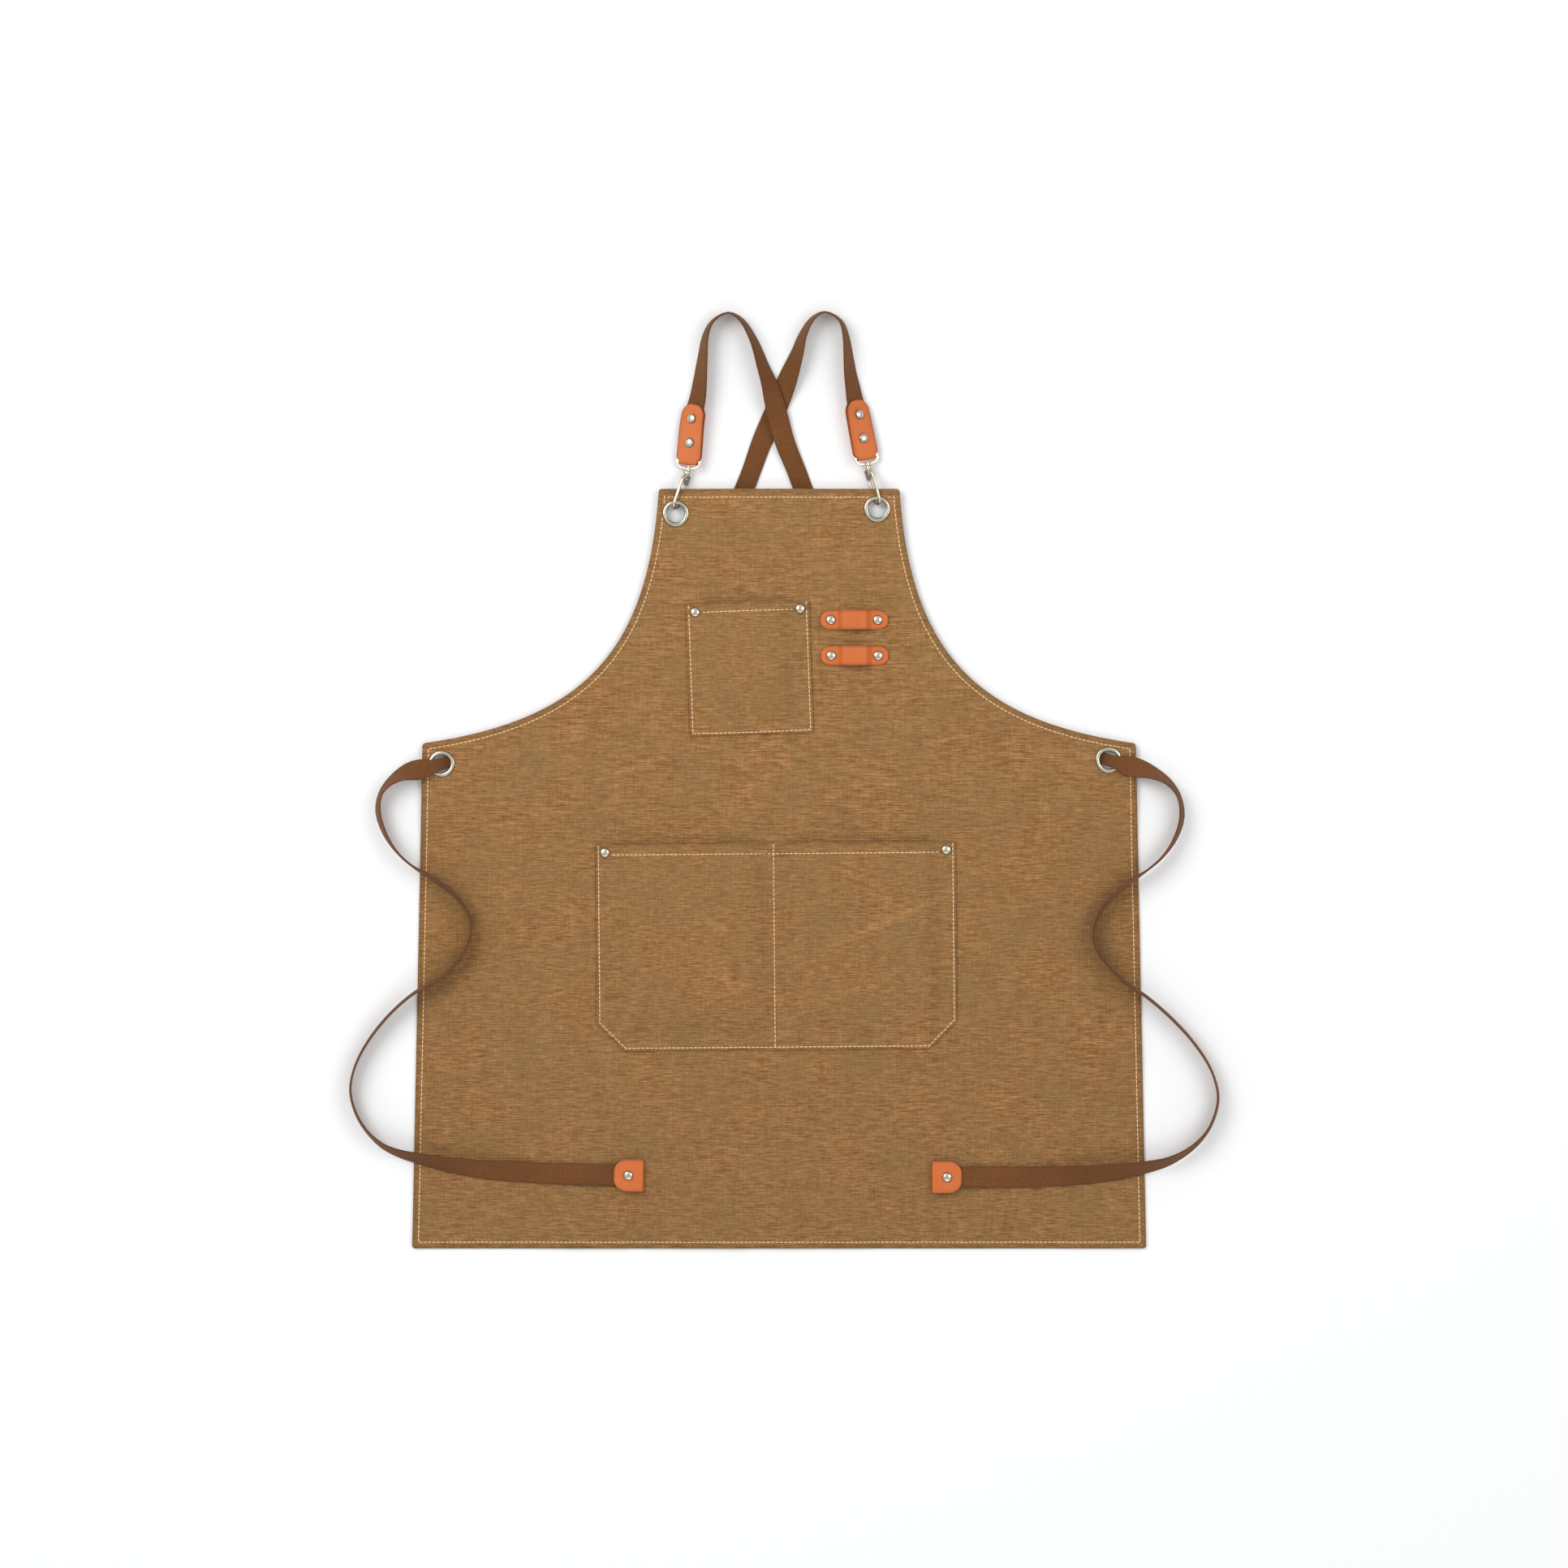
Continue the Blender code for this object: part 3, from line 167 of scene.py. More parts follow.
over = 0.0029
routes = {
    "Left": [
        (-0.0822, 0.7862, 0.0034, 26), (-0.0776, 0.8056, 0.0030, 38),
        (-0.0761, 0.8155, 0.0024, 44), (-0.0745, 0.8298, 0.0016, 53),
        (-0.0726, 0.8470, 0.0008, 63), (-0.0700, 0.8660, 0.0002, 73),
        (-0.0630, 0.8800, 0, 80), (-0.0483, 0.8877, 0, 83),
        (-0.0358, 0.8808, 0, 77), (-0.0261, 0.8655, 0.0004, 70),
        (-0.0201, 0.8513, 0.0012, 63), (-0.0154, 0.8370, 0.0026, 54),
        (-0.0102, 0.8227, 0.0042, 42), (-0.0062, 0.8084, 0.0042, 28),
        (-0.0025, 0.7941, 0.0036, 16), (0.0053, 0.7655, 0.0024, 6, 0.95),
        (0.0168, 0.7369, 0.0006, 2, 0.9), (0.0221, 0.7226, 0, 0, 0.9),
        (0.0380, 0.6830, 0, 0, 0.95), (0.0690, 0.6260, 0, 0),
        (0.1080, 0.5760, 0, 0), (0.1570, 0.5350, 0, 0),
        (0.2200, 0.4960, 0, 0), (0.2800, 0.4740, 0, 0, 0.95),
        (0.2990, 0.4676, 0, 0, 0.66, 1.3), (0.3052, 0.4655, 0, 0, 0.56, 1.35),
        (0.3090, 0.4642, 0.0001, 0, 0.56, 1.35), (0.3135, 0.4626, 0.0038, 0, 0.56, 1.35),
        (0.3182, 0.4610, 0.0076, 0, 0.58, 1.35), (0.3222, 0.4598, 0.0078, 0, 0.7, 1.2),
        (0.3310, 0.4573, 0.0078, 4, 0.95), (0.3395, 0.4550, 0.0074, 20),
        (0.3540, 0.4508, 0.0058, 50), (0.3690, 0.4425, 0.0030, 68),
        (0.3798, 0.4285, 0.0010, 76), (0.3829, 0.4088, 0.0005, 73),
        (0.3770, 0.3890, 0.0012, 76), (0.3650, 0.3712, 0.0022, 82),
        (0.3494, 0.3575, over, 84), (0.3374, 0.3496, over, 78),
        (0.3218, 0.3373, over, 76), (0.3069, 0.3204, over, 80),
        (0.2986, 0.3016, over, 84), (0.3001, 0.2850, over, 86),
        (0.3117, 0.2680, over, 86), (0.3287, 0.2513, over, 84),
        (0.3488, 0.2378, 0.0026, 84), (0.3721, 0.2177, 0.0012, 84),
        (0.3922, 0.1961, 0, 84), (0.4092, 0.1708, 0, 84),
        (0.4169, 0.1473, 0, 82), (0.4159, 0.1306, 0, 80),
        (0.4076, 0.1104, 0.0008, 78), (0.3922, 0.0937, 0.0018, 72),
        (0.3713, 0.0816, 0.0026, 62), (0.3519, 0.0762, 0.0029, 52),
        (0.3287, 0.0718, 0.0030, 40), (0.2851, 0.0677, 0.0031, 22),
        (0.2348, 0.0656, 0.0033, 8), (0.1945, 0.0657, 0.0045, 0),
        (0.1640, 0.0658, 0.0060, 0), (0.1452, 0.0658, 0.0060, 0),
    ],
    "Right": [
        (0.0758, 0.7860, 0.0034, -26), (0.0718, 0.8055, 0.0030, -38),
        (0.0702, 0.8155, 0.0024, -44), (0.0677, 0.8298, 0.0016, -53),
        (0.0658, 0.8470, 0.0008, -63), (0.0634, 0.8660, 0.0002, -73),
        (0.0580, 0.8805, 0, -80), (0.0432, 0.8884, 0, -83),
        (0.0311, 0.8813, 0, -76), (0.0221, 0.8655, 0, -66),
        (0.0178, 0.8513, 0, -54), (0.0127, 0.8370, 0, -38),
        (0.0073, 0.8227, 0, -20), (0.0018, 0.8084, 0, -6),
        (-0.0040, 0.7941, 0, 0), (-0.0165, 0.7655, 0, 0, 0.95),
        (-0.0268, 0.7369, 0, 0, 0.9), (-0.0325, 0.7226, 0, 0, 0.9),
        (-0.0500, 0.6830, 0, 0, 0.95), (-0.0790, 0.6260, 0, 0),
        (-0.1150, 0.5760, 0, 0), (-0.1620, 0.5340, 0, 0),
        (-0.2260, 0.4930, 0, 0), (-0.2870, 0.4700, 0, 0, 0.95),
        (-0.3066, 0.4637, 0, 0, 0.66, 1.3), (-0.3129, 0.4617, 0, 0, 0.56, 1.35),
        (-0.3168, 0.4604, 0.0001, 0, 0.56, 1.35), (-0.3212, 0.4589, 0.0038, 0, 0.56, 1.35),
        (-0.3259, 0.4573, 0.0076, 0, 0.58, 1.35), (-0.3299, 0.4561, 0.0078, 0, 0.7, 1.2),
        (-0.3385, 0.4540, 0.0078, -4, 0.95), (-0.3470, 0.4524, 0.0074, -20),
        (-0.3590, 0.4490, 0.0058, -50), (-0.3710, 0.4410, 0.0030, -68),
        (-0.3792, 0.4295, 0.0010, -76), (-0.3812, 0.4130, 0.0005, -73),
        (-0.3750, 0.3930, 0.0012, -76), (-0.3640, 0.3760, 0.0022, -82),
        (-0.3500, 0.3628, over, -84), (-0.3357, 0.3539, over, -78),
        (-0.3171, 0.3419, over, -76), (-0.3020, 0.3268, over, -80),
        (-0.2929, 0.3083, over, -84), (-0.2952, 0.2890, over, -86),
        (-0.3055, 0.2714, over, -86), (-0.3204, 0.2564, over, -84),
        (-0.3388, 0.2463, over, -84), (-0.3574, 0.2329, 0.0026, -84),
        (-0.3775, 0.2128, 0.0012, -84), (-0.3945, 0.1893, 0, -84),
        (-0.4045, 0.1674, 0, -84), (-0.4076, 0.1473, 0, -82),
        (-0.4026, 0.1272, 0, -80), (-0.3926, 0.1104, 0.0008, -78),
        (-0.3775, 0.0963, 0.0018, -72), (-0.3607, 0.0886, 0.0026, -64),
        (-0.3439, 0.0843, 0.0029, -55), (-0.3171, 0.0785, 0.0030, -42),
        (-0.2835, 0.0735, 0.0031, -26), (-0.2500, 0.0712, 0.0032, -12),
        (-0.2166, 0.0692, 0.0034, -4), (-0.1829, 0.0682, 0.0045, 0),
        (-0.1480, 0.0675, 0.0060, 0), (-0.1289, 0.0672, 0.0060, 0),
    ],
}

webbing = {"width": 0.0200, "thick": 0.0018, "step": 0.0070, "endGap": 0.0030}
tab = {"length": 0.0585, "width": 0.0240, "rivets": (0.0175, 0.0405), "lift": 0.0040, "roll": 14,
       "step": 0.010, "folds": {"Left": (-0.0864, 0.7432), "Right": (0.0833, 0.7480)},
       "foldCentre": 0.0008, "foldHalf": 0.0090}
leather = {"thick": 0.0014}
tip = {"length": 0.0260, "width": 0.0308, "rivet": 0.0145, "pull": 0.0026}
bail = {"barHalf": 0.0014, "thick": 0.0014, "half": 0.0122, "drop": 0.0086}


def steadySlopes(places, values):
    # slopes that never overshoot the values between two points
    rises = [(b - a) / (q - p) for a, b, p, q in zip(values, values[1:], places, places[1:])]
    slopes = [rises[0]]
    for before, after in zip(rises, rises[1:]):
        slopes.append(0.0 if before * after <= 0 else 2 * before * after / (before + after))
    return slopes + [rises[-1]]


def evenSlopes(places, values):
    slopes = [(values[1] - values[0]) / (places[1] - places[0])]
    for i in range(1, len(values) - 1):
        slopes.append((values[i + 1] - values[i - 1]) / (places[i + 1] - places[i - 1]))
    return slopes + [(values[-1] - values[-2]) / (places[-1] - places[-2])]


def cubicAt(places, values, slopes, i, share):
    step = places[i + 1] - places[i]
    s2, s3 = share ** 2, share ** 3
    return ((2 * s3 - 3 * s2 + 1) * values[i] + (s3 - 2 * s2 + share) * step * slopes[i]
            + (3 * s2 - 2 * s3) * values[i + 1] + (s3 - s2) * step * slopes[i + 1])


class Ribbon:
    # a path with a roll, a width and a thickness at each station
    def __init__(self, route, longest):
        places = [0.0]
        for a, b in zip(route, route[1:]):
            places.append(places[-1] + math.hypot(b[0] - a[0], b[1] - a[1]))
        columns = list(zip(*route))
        slopes = [evenSlopes(places, c) if n < 2 else steadySlopes(places, c)
                  for n, c in enumerate(columns)]
        rows = []
        for i in range(len(route) - 1):
            step = tab["step"] if places[i] < tab["length"] else 0.030
            parts = math.ceil((places[i + 1] - places[i]) / step)
            finer = max(1, math.ceil((places[i + 1] - places[i]) / parts / longest))
            for part in range(parts * finer):
                rows.append([cubicAt(places, c, s, i, part / parts / finer)
                             for c, s in zip(columns, slopes)])
        rows.append([c[-1] for c in columns])
        self.points, self.rolls, self.shares = [], [], []
        for x, y, lift, roll, wide, thick in rows:
            turn = math.radians(roll)
            tall = webbing["width"] / 2 * wide * abs(math.sin(turn))
            tall += webbing["thick"] / 2 * thick * abs(math.cos(turn))
            self.points.append(Vector((x, y, lift + gap + tall)))
            self.rolls.append(turn)
            self.shares.append((wide, thick))
        self.places = [0.0]
        for a, b in zip(self.points, self.points[1:]):
            self.places.append(self.places[-1] + (b - a).length)
        self.length = self.places[-1]

    def along(self, i):
        low, high = max(i - 1, 0), min(i + 1, len(self.points) - 1)
        return (self.points[high] - self.points[low]).normalized()

    def at(self, place):
        # point, directions along, across and out, and the width and thickness shares
        i = 0
        while i < len(self.places) - 2 and place > self.places[i + 1]:
            i += 1
        share = (place - self.places[i]) / (self.places[i + 1] - self.places[i])
        point = self.points[i].lerp(self.points[i + 1], share)
        mixed = min(max(share, 0.0), 1.0)
        along = self.along(i).lerp(self.along(i + 1), mixed).normalized()
        roll = self.rolls[i] + (self.rolls[i + 1] - self.rolls[i]) * mixed
        side = along.cross(upward).normalized()
        up = side.cross(along)
        across = side * math.cos(roll) + up * math.sin(roll)
        wide, thick = (a + (b - a) * mixed for a, b in zip(self.shares[i], self.shares[i + 1]))
        return point, along, across, across.cross(along), wide, thick

    def place(self, place, height):
        point, along, across, out, _, _ = self.at(place)
        spot = Matrix((across, along, out)).transposed().to_4x4()
        spot.translation = point + out * height
        return spot


def strapRibbon(side):
    # starts on the bail's bar, runs through the fold and the tab, then takes the route
    route = routes[side]
    fold = Vector(tab["folds"][side])
    toStrap = (Vector(route[0][:2]) - fold).normalized()
    bar = fold + toStrap * (tab["foldCentre"] + webbing["thick"] / 2 + gap + leather["thick"])
    lean = math.copysign(tab["roll"], route[0][3])
    start = [(*bar, tab["lift"], lean, 1, 1),
             (*(bar + toStrap * 0.012), tab["lift"], lean * 1.3, 1, 1)]
    return Ribbon([(*row, 1, 1)[:6] for row in start + route], webbing["step"])


ribbons = {side: strapRibbon(side) for side in ("Left", "Right")}
print("routes ready:", [round(r.length, 3) for r in ribbons.values()], "m")


# materials

bandRepeat = 0.314  # a Wave texture's band repeats after this many units at scale 1


def objectPlace(tree):
    return addNode(tree, "TexCoord").outputs["Object"]


def calc(tree, operation, *terms):
    return addNode(tree, "Math", dict(enumerate(terms)), operation=operation).outputs[0]


def noiseOf(tree, place, scale, detail, roughness=0.5):
    return addNode(tree, "TexNoise", {"Vector": place, "Scale": scale, "Detail": detail,
                                      "Roughness": roughness}).outputs["Fac"]


def rangeOf(tree, source, toLow, toHigh, low=0.0, high=1.0):
    return addNode(tree, "MapRange", {"Value": source, "From Min": low, "From Max": high,
                                      "To Min": toLow, "To Max": toHigh}).outputs[0]


def mixOf(tree, share, first, second):
    return addNode(tree, "Mix", {0: share, 6: first, 7: second}, data_type="RGBA").outputs[2]


def markOf(tree, name):
    return addNode(tree, "Attribute", attribute_name=name).outputs["Fac"]


def rampOf(tree, source, look, places):
    # deep, base and pale colours at three places
    ramp = addNode(tree, "ValToRGB", {0: source})
    stops = ramp.color_ramp.elements
    stops[0].position, stops[0].color = places[0], toLinear(look["deep"])
    stops[1].position, stops[1].color = places[2], toLinear(look["pale"])
    stops.new(places[1]).color = toLinear(look["base"])
    return ramp.outputs[0]


def finishLook(tree, shader, colour, height, strength, distance, gloss=None):
    # plugs a colour, a bump and perhaps a roughness into the shader
    tree.links.new(colour, shader.inputs["Base Color"])
    if gloss:
        tree.links.new(gloss, shader.inputs["Roughness"])
    bump = addNode(tree, "Bump", {"Strength": strength, "Distance": distance, "Height": height})
    tree.links.new(bump.outputs[0], shader.inputs["Normal"])


# washed cotton canvas, plain woven from slubbed yarn: dry and matt, mottled by thick and thin
# places in the weft, with painted shade making it a little darker where the cloth is folded under
# at an edge
canvasLook = {
    "base": "#976A3D", "deep": "#735029", "pale": "#B18352", "green": "#886B40",
    "yarnPitch": 0.0013,  # real yarns are 0.8 mm apart, drawn coarser so that they show
    "slubLong": 0.012, "slubHigh": 0.0011, "patch": 0.055, "grain": 0.0035,
    "edgeShade": 0.16, "paintedLight": 0.28,
}


def makeCanvas(name, look):
    material, tree, shader = newMaterial(name, {
        "Roughness": 0.92, "Specular IOR Level": 0.25, "Sheen Weight": 0.06,
        "Sheen Roughness": 0.6})
    place = objectPlace(tree)
    long, thin = 1 / look["slubLong"], 1 / look["slubHigh"]
    weftPlace = addNode(tree, "Mapping", {"Vector": place, "Scale": (long, thin, long)})
    slub = noiseOf(tree, weftPlace.outputs[0], 1.0, 3.0, 0.62)
    warpPlace = addNode(tree, "Mapping", {
        "Vector": place, "Scale": (thin, 0.6 / look["slubLong"], long)})
    warpSlub = noiseOf(tree, warpPlace.outputs[0], 1.0, 2.0)
    patch = noiseOf(tree, place, 1 / look["patch"], 4.0, 0.55)
    grain = noiseOf(tree, place, 1 / look["grain"], 2.0)
    yarns = [addNode(tree, "TexWave", {
        "Vector": place, "Scale": bandRepeat / look["yarnPitch"] / 2, "Distortion": 0.6,
        "Detail": 1.0}, bands_direction=way).outputs["Fac"] for way in ("Y", "X")]
    weave = calc(tree, "MULTIPLY", *yarns)
    # colour: slubs over patches, then painted shade along the folded edges
    mixed = calc(tree, "MULTIPLY_ADD", warpSlub, 0.22, slub)
    ramp = rampOf(tree, mixed, look, (0.43, 0.61, 0.79))
    tinted = mixOf(tree, rangeOf(tree, patch, 0.0, 0.6, 0.35, 0.7), ramp,
                   toLinear(look["green"]))
    edgeShade = calc(tree, "MULTIPLY_ADD", markOf(tree, "edge"), -look["edgeShade"], 1.0)
    # painted highlight makes the crease ridges pale, and painted light leaves the lower skirt a
    # little darker than the bib
    paintedLight = calc(tree, "MULTIPLY_ADD", markOf(tree, "creaseHighlight"), look["paintedLight"], edgeShade)
    # painted light: lighter towards the bib and darker towards the hem, as from lamps above the
    # bib
    upSkirt = addNode(tree, "SeparateXYZ", {0: place}).outputs[1]
    shade = rangeOf(tree, grain, 0.88, 1.1, 0.3, 0.7)
    for factor in (rangeOf(tree, upSkirt, 0.94, 1.08, 0.0, 0.72),
                   rangeOf(tree, weave, 0.93, 1.16), paintedLight):
        shade = calc(tree, "MULTIPLY", shade, factor)
    colour = addNode(tree, "VectorMath", {0: tinted, "Scale": shade}, operation="SCALE")
    height = calc(tree, "MULTIPLY_ADD", slub, 0.6, weave)
    finishLook(tree, shader, colour.outputs[0], height, 0.7, 0.0006)
    return material


# woven cotton webbing: chevron ribs across the band, matt, a tighter darker selvedge each side
webbingLook = {"base": "#74461F", "pale": "#835128", "deep": "#5F3A1A", "endPitch": 0.0014,
               "ribPitch": 0.0016,  # real ribs are 1 mm apart, drawn coarser so that they show
               "slant": 0.8, "selvedge": (0.0086, 0.0095)}


def makeWebbingMaterial(name, look):
    material, tree, shader = newMaterial(name, {"Roughness": 0.86, "Specular IOR Level": 0.3,
                                                "Sheen Weight": 0.05})
    flat = addNode(tree, "UVMap", uv_map="flat").outputs[0]
    parts = addNode(tree, "SeparateXYZ", {0: flat}).outputs
    away = calc(tree, "ABSOLUTE", parts[1])
    slanted = calc(tree, "MULTIPLY_ADD", away, look["slant"], parts[0])
    rib, end = (calc(tree, "SINE", calc(tree, "MULTIPLY", source, 2 * math.pi / pitch))
                for source, pitch in ((slanted, look["ribPitch"]), (parts[1], look["endPitch"])))
    weave = calc(tree, "MULTIPLY_ADD", end, 0.4, rib)
    place = objectPlace(tree)
    fuzz = noiseOf(tree, place, 900.0, 2.0)
    wash = noiseOf(tree, place, 16.0, 2.0)
    tone = calc(tree, "MULTIPLY_ADD", wash, 0.5, fuzz)
    toned = calc(tree, "MULTIPLY_ADD", weave, 0.10, tone)
    ramp = rampOf(tree, toned, look, (0.50, 0.78, 1.0))
    colour = addNode(tree, "VectorMath", {
        0: ramp, "Scale": rangeOf(tree, away, 1.0, 0.82, *look["selvedge"])}, operation="SCALE")
    finishLook(tree, shader, colour.outputs[0], weave, 0.5, 0.0004)
    return material


# vegetable tanned cowhide, dyed tan and finished smooth: soft gloss, fine pores, burnished rims
leatherLook = {"base": "#D36F30", "deep": "#C46125", "rim": "#954719", "pore": 0.0009}


def makeLeather(name, look):
    material, tree, shader = newMaterial(name, {"Specular IOR Level": 0.4})
    place = objectPlace(tree)
    cloud = noiseOf(tree, place, 70.0, 4.0)
    pores = addNode(tree, "TexVoronoi", {"Vector": place, "Scale": 1 / look["pore"]})
    dyed = mixOf(tree, cloud, toLinear(look["deep"]), toLinear(look["base"]))
    rimmed = mixOf(tree, markOf(tree, "edge"), dyed, toLinear(look["rim"]))
    finishLook(tree, shader, rimmed, pores.outputs["Distance"], 0.25, 0.0002,
               rangeOf(tree, cloud, 0.42, 0.58))
    return material


# stamped and die-cast pieces, nickel plated: mirror bright under a film of fine handling marks;
# the dark colour is painted shade and dark reflection in the rims
nickelLook = {"colour": "#D2C9B4", "dark": "#5A5244", "low": 0.16, "high": 0.32, "marks": 900.0}
# the gates, their pins and springs: the same plating, duller and darker
darkLook = {"colour": "#8C857A", "dark": "#4A443A", "low": 0.26, "high": 0.42, "marks": 900.0}


def makeMetal(name, look):
    # painted shade and painted dark reflection darken the rims and grooves
    material, tree, shader = newMaterial(name, {"Metallic": 1.0})
    colour = mixOf(tree, markOf(tree, "edge"), toLinear(look["colour"]), toLinear(look["dark"]))
    marks = noiseOf(tree, objectPlace(tree), look["marks"], 3.0)
    finishLook(tree, shader, colour, marks, 0.06, 0.0001,
               rangeOf(tree, marks, look["low"], look["high"], 0.3, 0.75))
    return material


# waxed polyester sewing thread, twisted: pale peach, slight sheen, shaded between the plies
threadLook = {"base": "#F0CB9A", "deep": "#C99C6B", "ply": 0.0009}


def makeThread(name, look):
    material, tree, shader = newMaterial(name, {"Roughness": 0.6, "Specular IOR Level": 0.35})
    place = objectPlace(tree)
    plies = addNode(tree, "TexWave", {"Vector": place, "Scale": bandRepeat / look["ply"]},
                    bands_direction="DIAGONAL").outputs["Fac"]
    share = calc(tree, "MULTIPLY", plies, noiseOf(tree, place, 60.0, 3.0))
    colour = mixOf(tree, share, toLinear(look["base"]), toLinear(look["deep"]))
    finishLook(tree, shader, colour, plies, 0.4, 0.0002)
    return material


canvasCloth = makeCanvas("washedCottonCanvas", canvasLook)
webbingCloth = makeWebbingMaterial("wovenCottonWebbing", webbingLook)
tanLeather = makeLeather("tanCowhide", leatherLook)
nickelPlate = makeMetal("nickelPlatedBrass", nickelLook)
darkPlate = makeMetal("dullPlatedSteel", darkLook)
sewingThread = makeThread("twistedPolyesterThread", threadLook)
print("materials made")


# heights of the cloth: it lies over the straps and the hooks, so it rises towards the bib

panel = {
    "thick": 0.0009, "layers": 3, "hem": 0.0085, "stitch": 0.0060, "topStitch": 0.0080,
    "topY": 0.7205, "bottomY": -0.0026, "bibHalf": 0.1145, "sideHalf": 0.3396,
    "sideDrop": 0.2421, "skirtHalf": 0.3496, "topLean": 0.065, "topPull": 0.1528,
    "sideLean": 0.139, "sidePull": 0.1579, "corner": 0.0030, "gridStep": 0.0075,
    "rise": [(0.3900, 0.0), (0.4400, 0.0030), (0.6550, 0.0030), (0.7205, 0.0060)],
    "ripple": 0.0011, "rippleLong": 0.11,
}
eyelet = {
    "places": {"topLeft": (-0.0984, 0.6969), "topRight": (0.0932, 0.7012),
               "sideLeft": (-0.3212, 0.4589), "sideRight": (0.3135, 0.4626)},
    "hole": 0.0085, "tube": 0.0006, "outer": 0.0125, "high": 0.0010,
    "washer": 0.0006, "lip": 0.0004, "lipOut": 0.0012,
}
rivet = {"cap": 0.0045, "high": 0.0020, "post": 0.0013, "burr": 0.0012, "socket": 0.0006}
pockets = {
    "chest": {"centre": (-0.0281, 0.5496), "size": (0.1180, 0.1260), "lean": 2.0,
              "chamfer": 0.0, "divider": None, "mouthStitch": 0.0082, "edgeStitch": 0.0030,
              "creases": [((-0.030, -0.020), (0.022, 0.006), 0.0004)]},
    "lower": {"centre": (-0.0026, 0.2850), "size": (0.3430, 0.1970), "lean": 0.5,
              "chamfer": 0.026, "divider": -0.002, "mouthStitch": 0.0100, "edgeStitch": 0.0028,
              "creases": [((-0.070, 0.034), (-0.052, 0.012), 0.0011),
                          ((-0.052, 0.012), (-0.046, 0.022), 0.0009),
                          ((-0.050, -0.020), (-0.044, -0.042), 0.0010),
                          ((-0.044, -0.042), (-0.024, -0.034), 0.0010),
                          ((-0.066, -0.004), (-0.060, -0.030), 0.0006),
                          ((0.046, -0.002), (0.160, 0.046), 0.0013),
                          ((0.020, -0.060), (0.110, -0.030), 0.0006)]},
}
pocketShape = {"swell": 0.0062, "run": 0.018, "bottomSeam": 0.005, "rivetIn": 0.0090,
               "rivetDown": 0.0078, "dividerHalf": 0.004, "gridStep": 0.0045}
toolLoop = {"upper": (0.0714, 0.5958), "lower": (0.0719, 0.5618), "length": 0.065,
            "width": 0.0187, "rivets": 0.0447, "swell": 0.0060, "run": 0.008}


def riseAt(y):
    knots = panel["rise"]
    if y <= knots[0][0]:
        return knots[0][1]
    for (y0, z0), (y1, z1) in zip(knots, knots[1:]):
        if y <= y1:
            return z0 + (z1 - z0) * (y - y0) / (y1 - y0)
    return knots[-1][1]


def frontHeight(y):
    return riseAt(y) + panel["layers"] * panel["thick"]


def pocketFrame(pocket):
    x, y = pocket["centre"]
    turn = Matrix.Rotation(math.radians(pocket["lean"]), 4, "Z")
    return Matrix.Translation((x, y, 0)) @ turn


def mouthCorners(pocket):
    wide, tall = pocket["size"]
    return [pocketFrame(pocket) @ Vector((side * (wide / 2 - pocketShape["rivetIn"]),
                                          tall / 2 - pocketShape["rivetDown"], 0))
            for side in (-1, 1)]


# the cloth lies still round the metal and under the straps, and lifts a little elsewhere
stillSpots = [Vector((*spot, 0)) for spot in eyelet["places"].values()]
stillSpots += [spot for pocket in pockets.values() for spot in mouthCorners(pocket)]
for key in ("upper", "lower"):
    x, y = toolLoop[key]
    stillSpots += [Vector((x + dx, y, 0)) for dx in (-0.022, 0, 0.022)]
for ribbon in ribbons.values():
    stillSpots += [Vector((p.x, p.y, 0)) for p in ribbon.points
                   if abs(p.x) < 0.36 and (p.z > 0.005 and p.y < 0.47)]
stillTree = kdtree.KDTree(len(stillSpots))
for i, spot in enumerate(stillSpots):
    stillTree.insert(spot, i)
stillTree.balance()


def rippleAt(x, y):
    far = stillTree.find(Vector((x, y, 0)))[2]
    mask = easeStep((far - 0.014) / 0.05)
    if mask <= 0:
        return 0.0
    wave = noise.noise(Vector((x, y * 1.3, 3.7)) / panel["rippleLong"])
    wave += 0.45 * noise.noise(Vector((x * 1.4, y, 9.1)) / panel["rippleLong"] * 2.6)
    return max(0.0, panel["ripple"] * (0.25 + 1.8 * wave)) * mask


def clothHeight(x, y):
    return frontHeight(y) + rippleAt(x, y)


# flat cut pieces: rings of faces follow the outline, a grid fills the middle

def sampleSide(side, step, ends):
    # points along a polyline, close together near its two corners, with their inward normals
    lengths = [0.0]
    for a, b in zip(side, side[1:]):
        lengths.append(lengths[-1] + (b - a).length)
    whole = lengths[-1]
    count = max(2, round((whole - 2 * ends[-1]) / step))
    inner = [ends[-1] + (whole - 2 * ends[-1]) * k / count for k in range(1, count)]
    spots = [0.0] + list(ends) + inner + [whole - e for e in reversed(ends)]
    rows, i = [], 0
    for spot in spots:
        while i < len(side) - 2 and spot > lengths[i + 1]:
            i += 1
        share = (spot - lengths[i]) / (lengths[i + 1] - lengths[i])
        along = (side[i + 1] - side[i]).normalized()
        rows.append((side[i].lerp(side[i + 1], share), Vector((along.y, -along.x)), spot, whole))
    last = (side[-1] - side[-2]).normalized()
    return rows, Vector((last.y, -last.x))


def outlineLoop(sides, step, ends, blendLong):
    # (point, inward direction) all round; the direction turns to the mitre near each corner
    sampled = [sampleSide(side, step, ends) for side in sides]
    mitres = []
    for i, (rows, _) in enumerate(sampled):
        before, after = sampled[i - 1][1], rows[0][1]
        mitres.append((before + after) / (1 + before.dot(after)))
    loop = []
    for i, (rows, _) in enumerate(sampled):
        for point, normal, spot, whole in rows:
            reach = min(blendLong, whole / 2)
            if spot < whole / 2:
                corner, share = mitres[i], 1 - spot / reach
            else:
                corner, share = mitres[(i + 1) % len(sampled)], 1 - (whole - spot) / reach
            loop.append((point, normal.lerp(corner, max(share, 0.0))))
    return loop


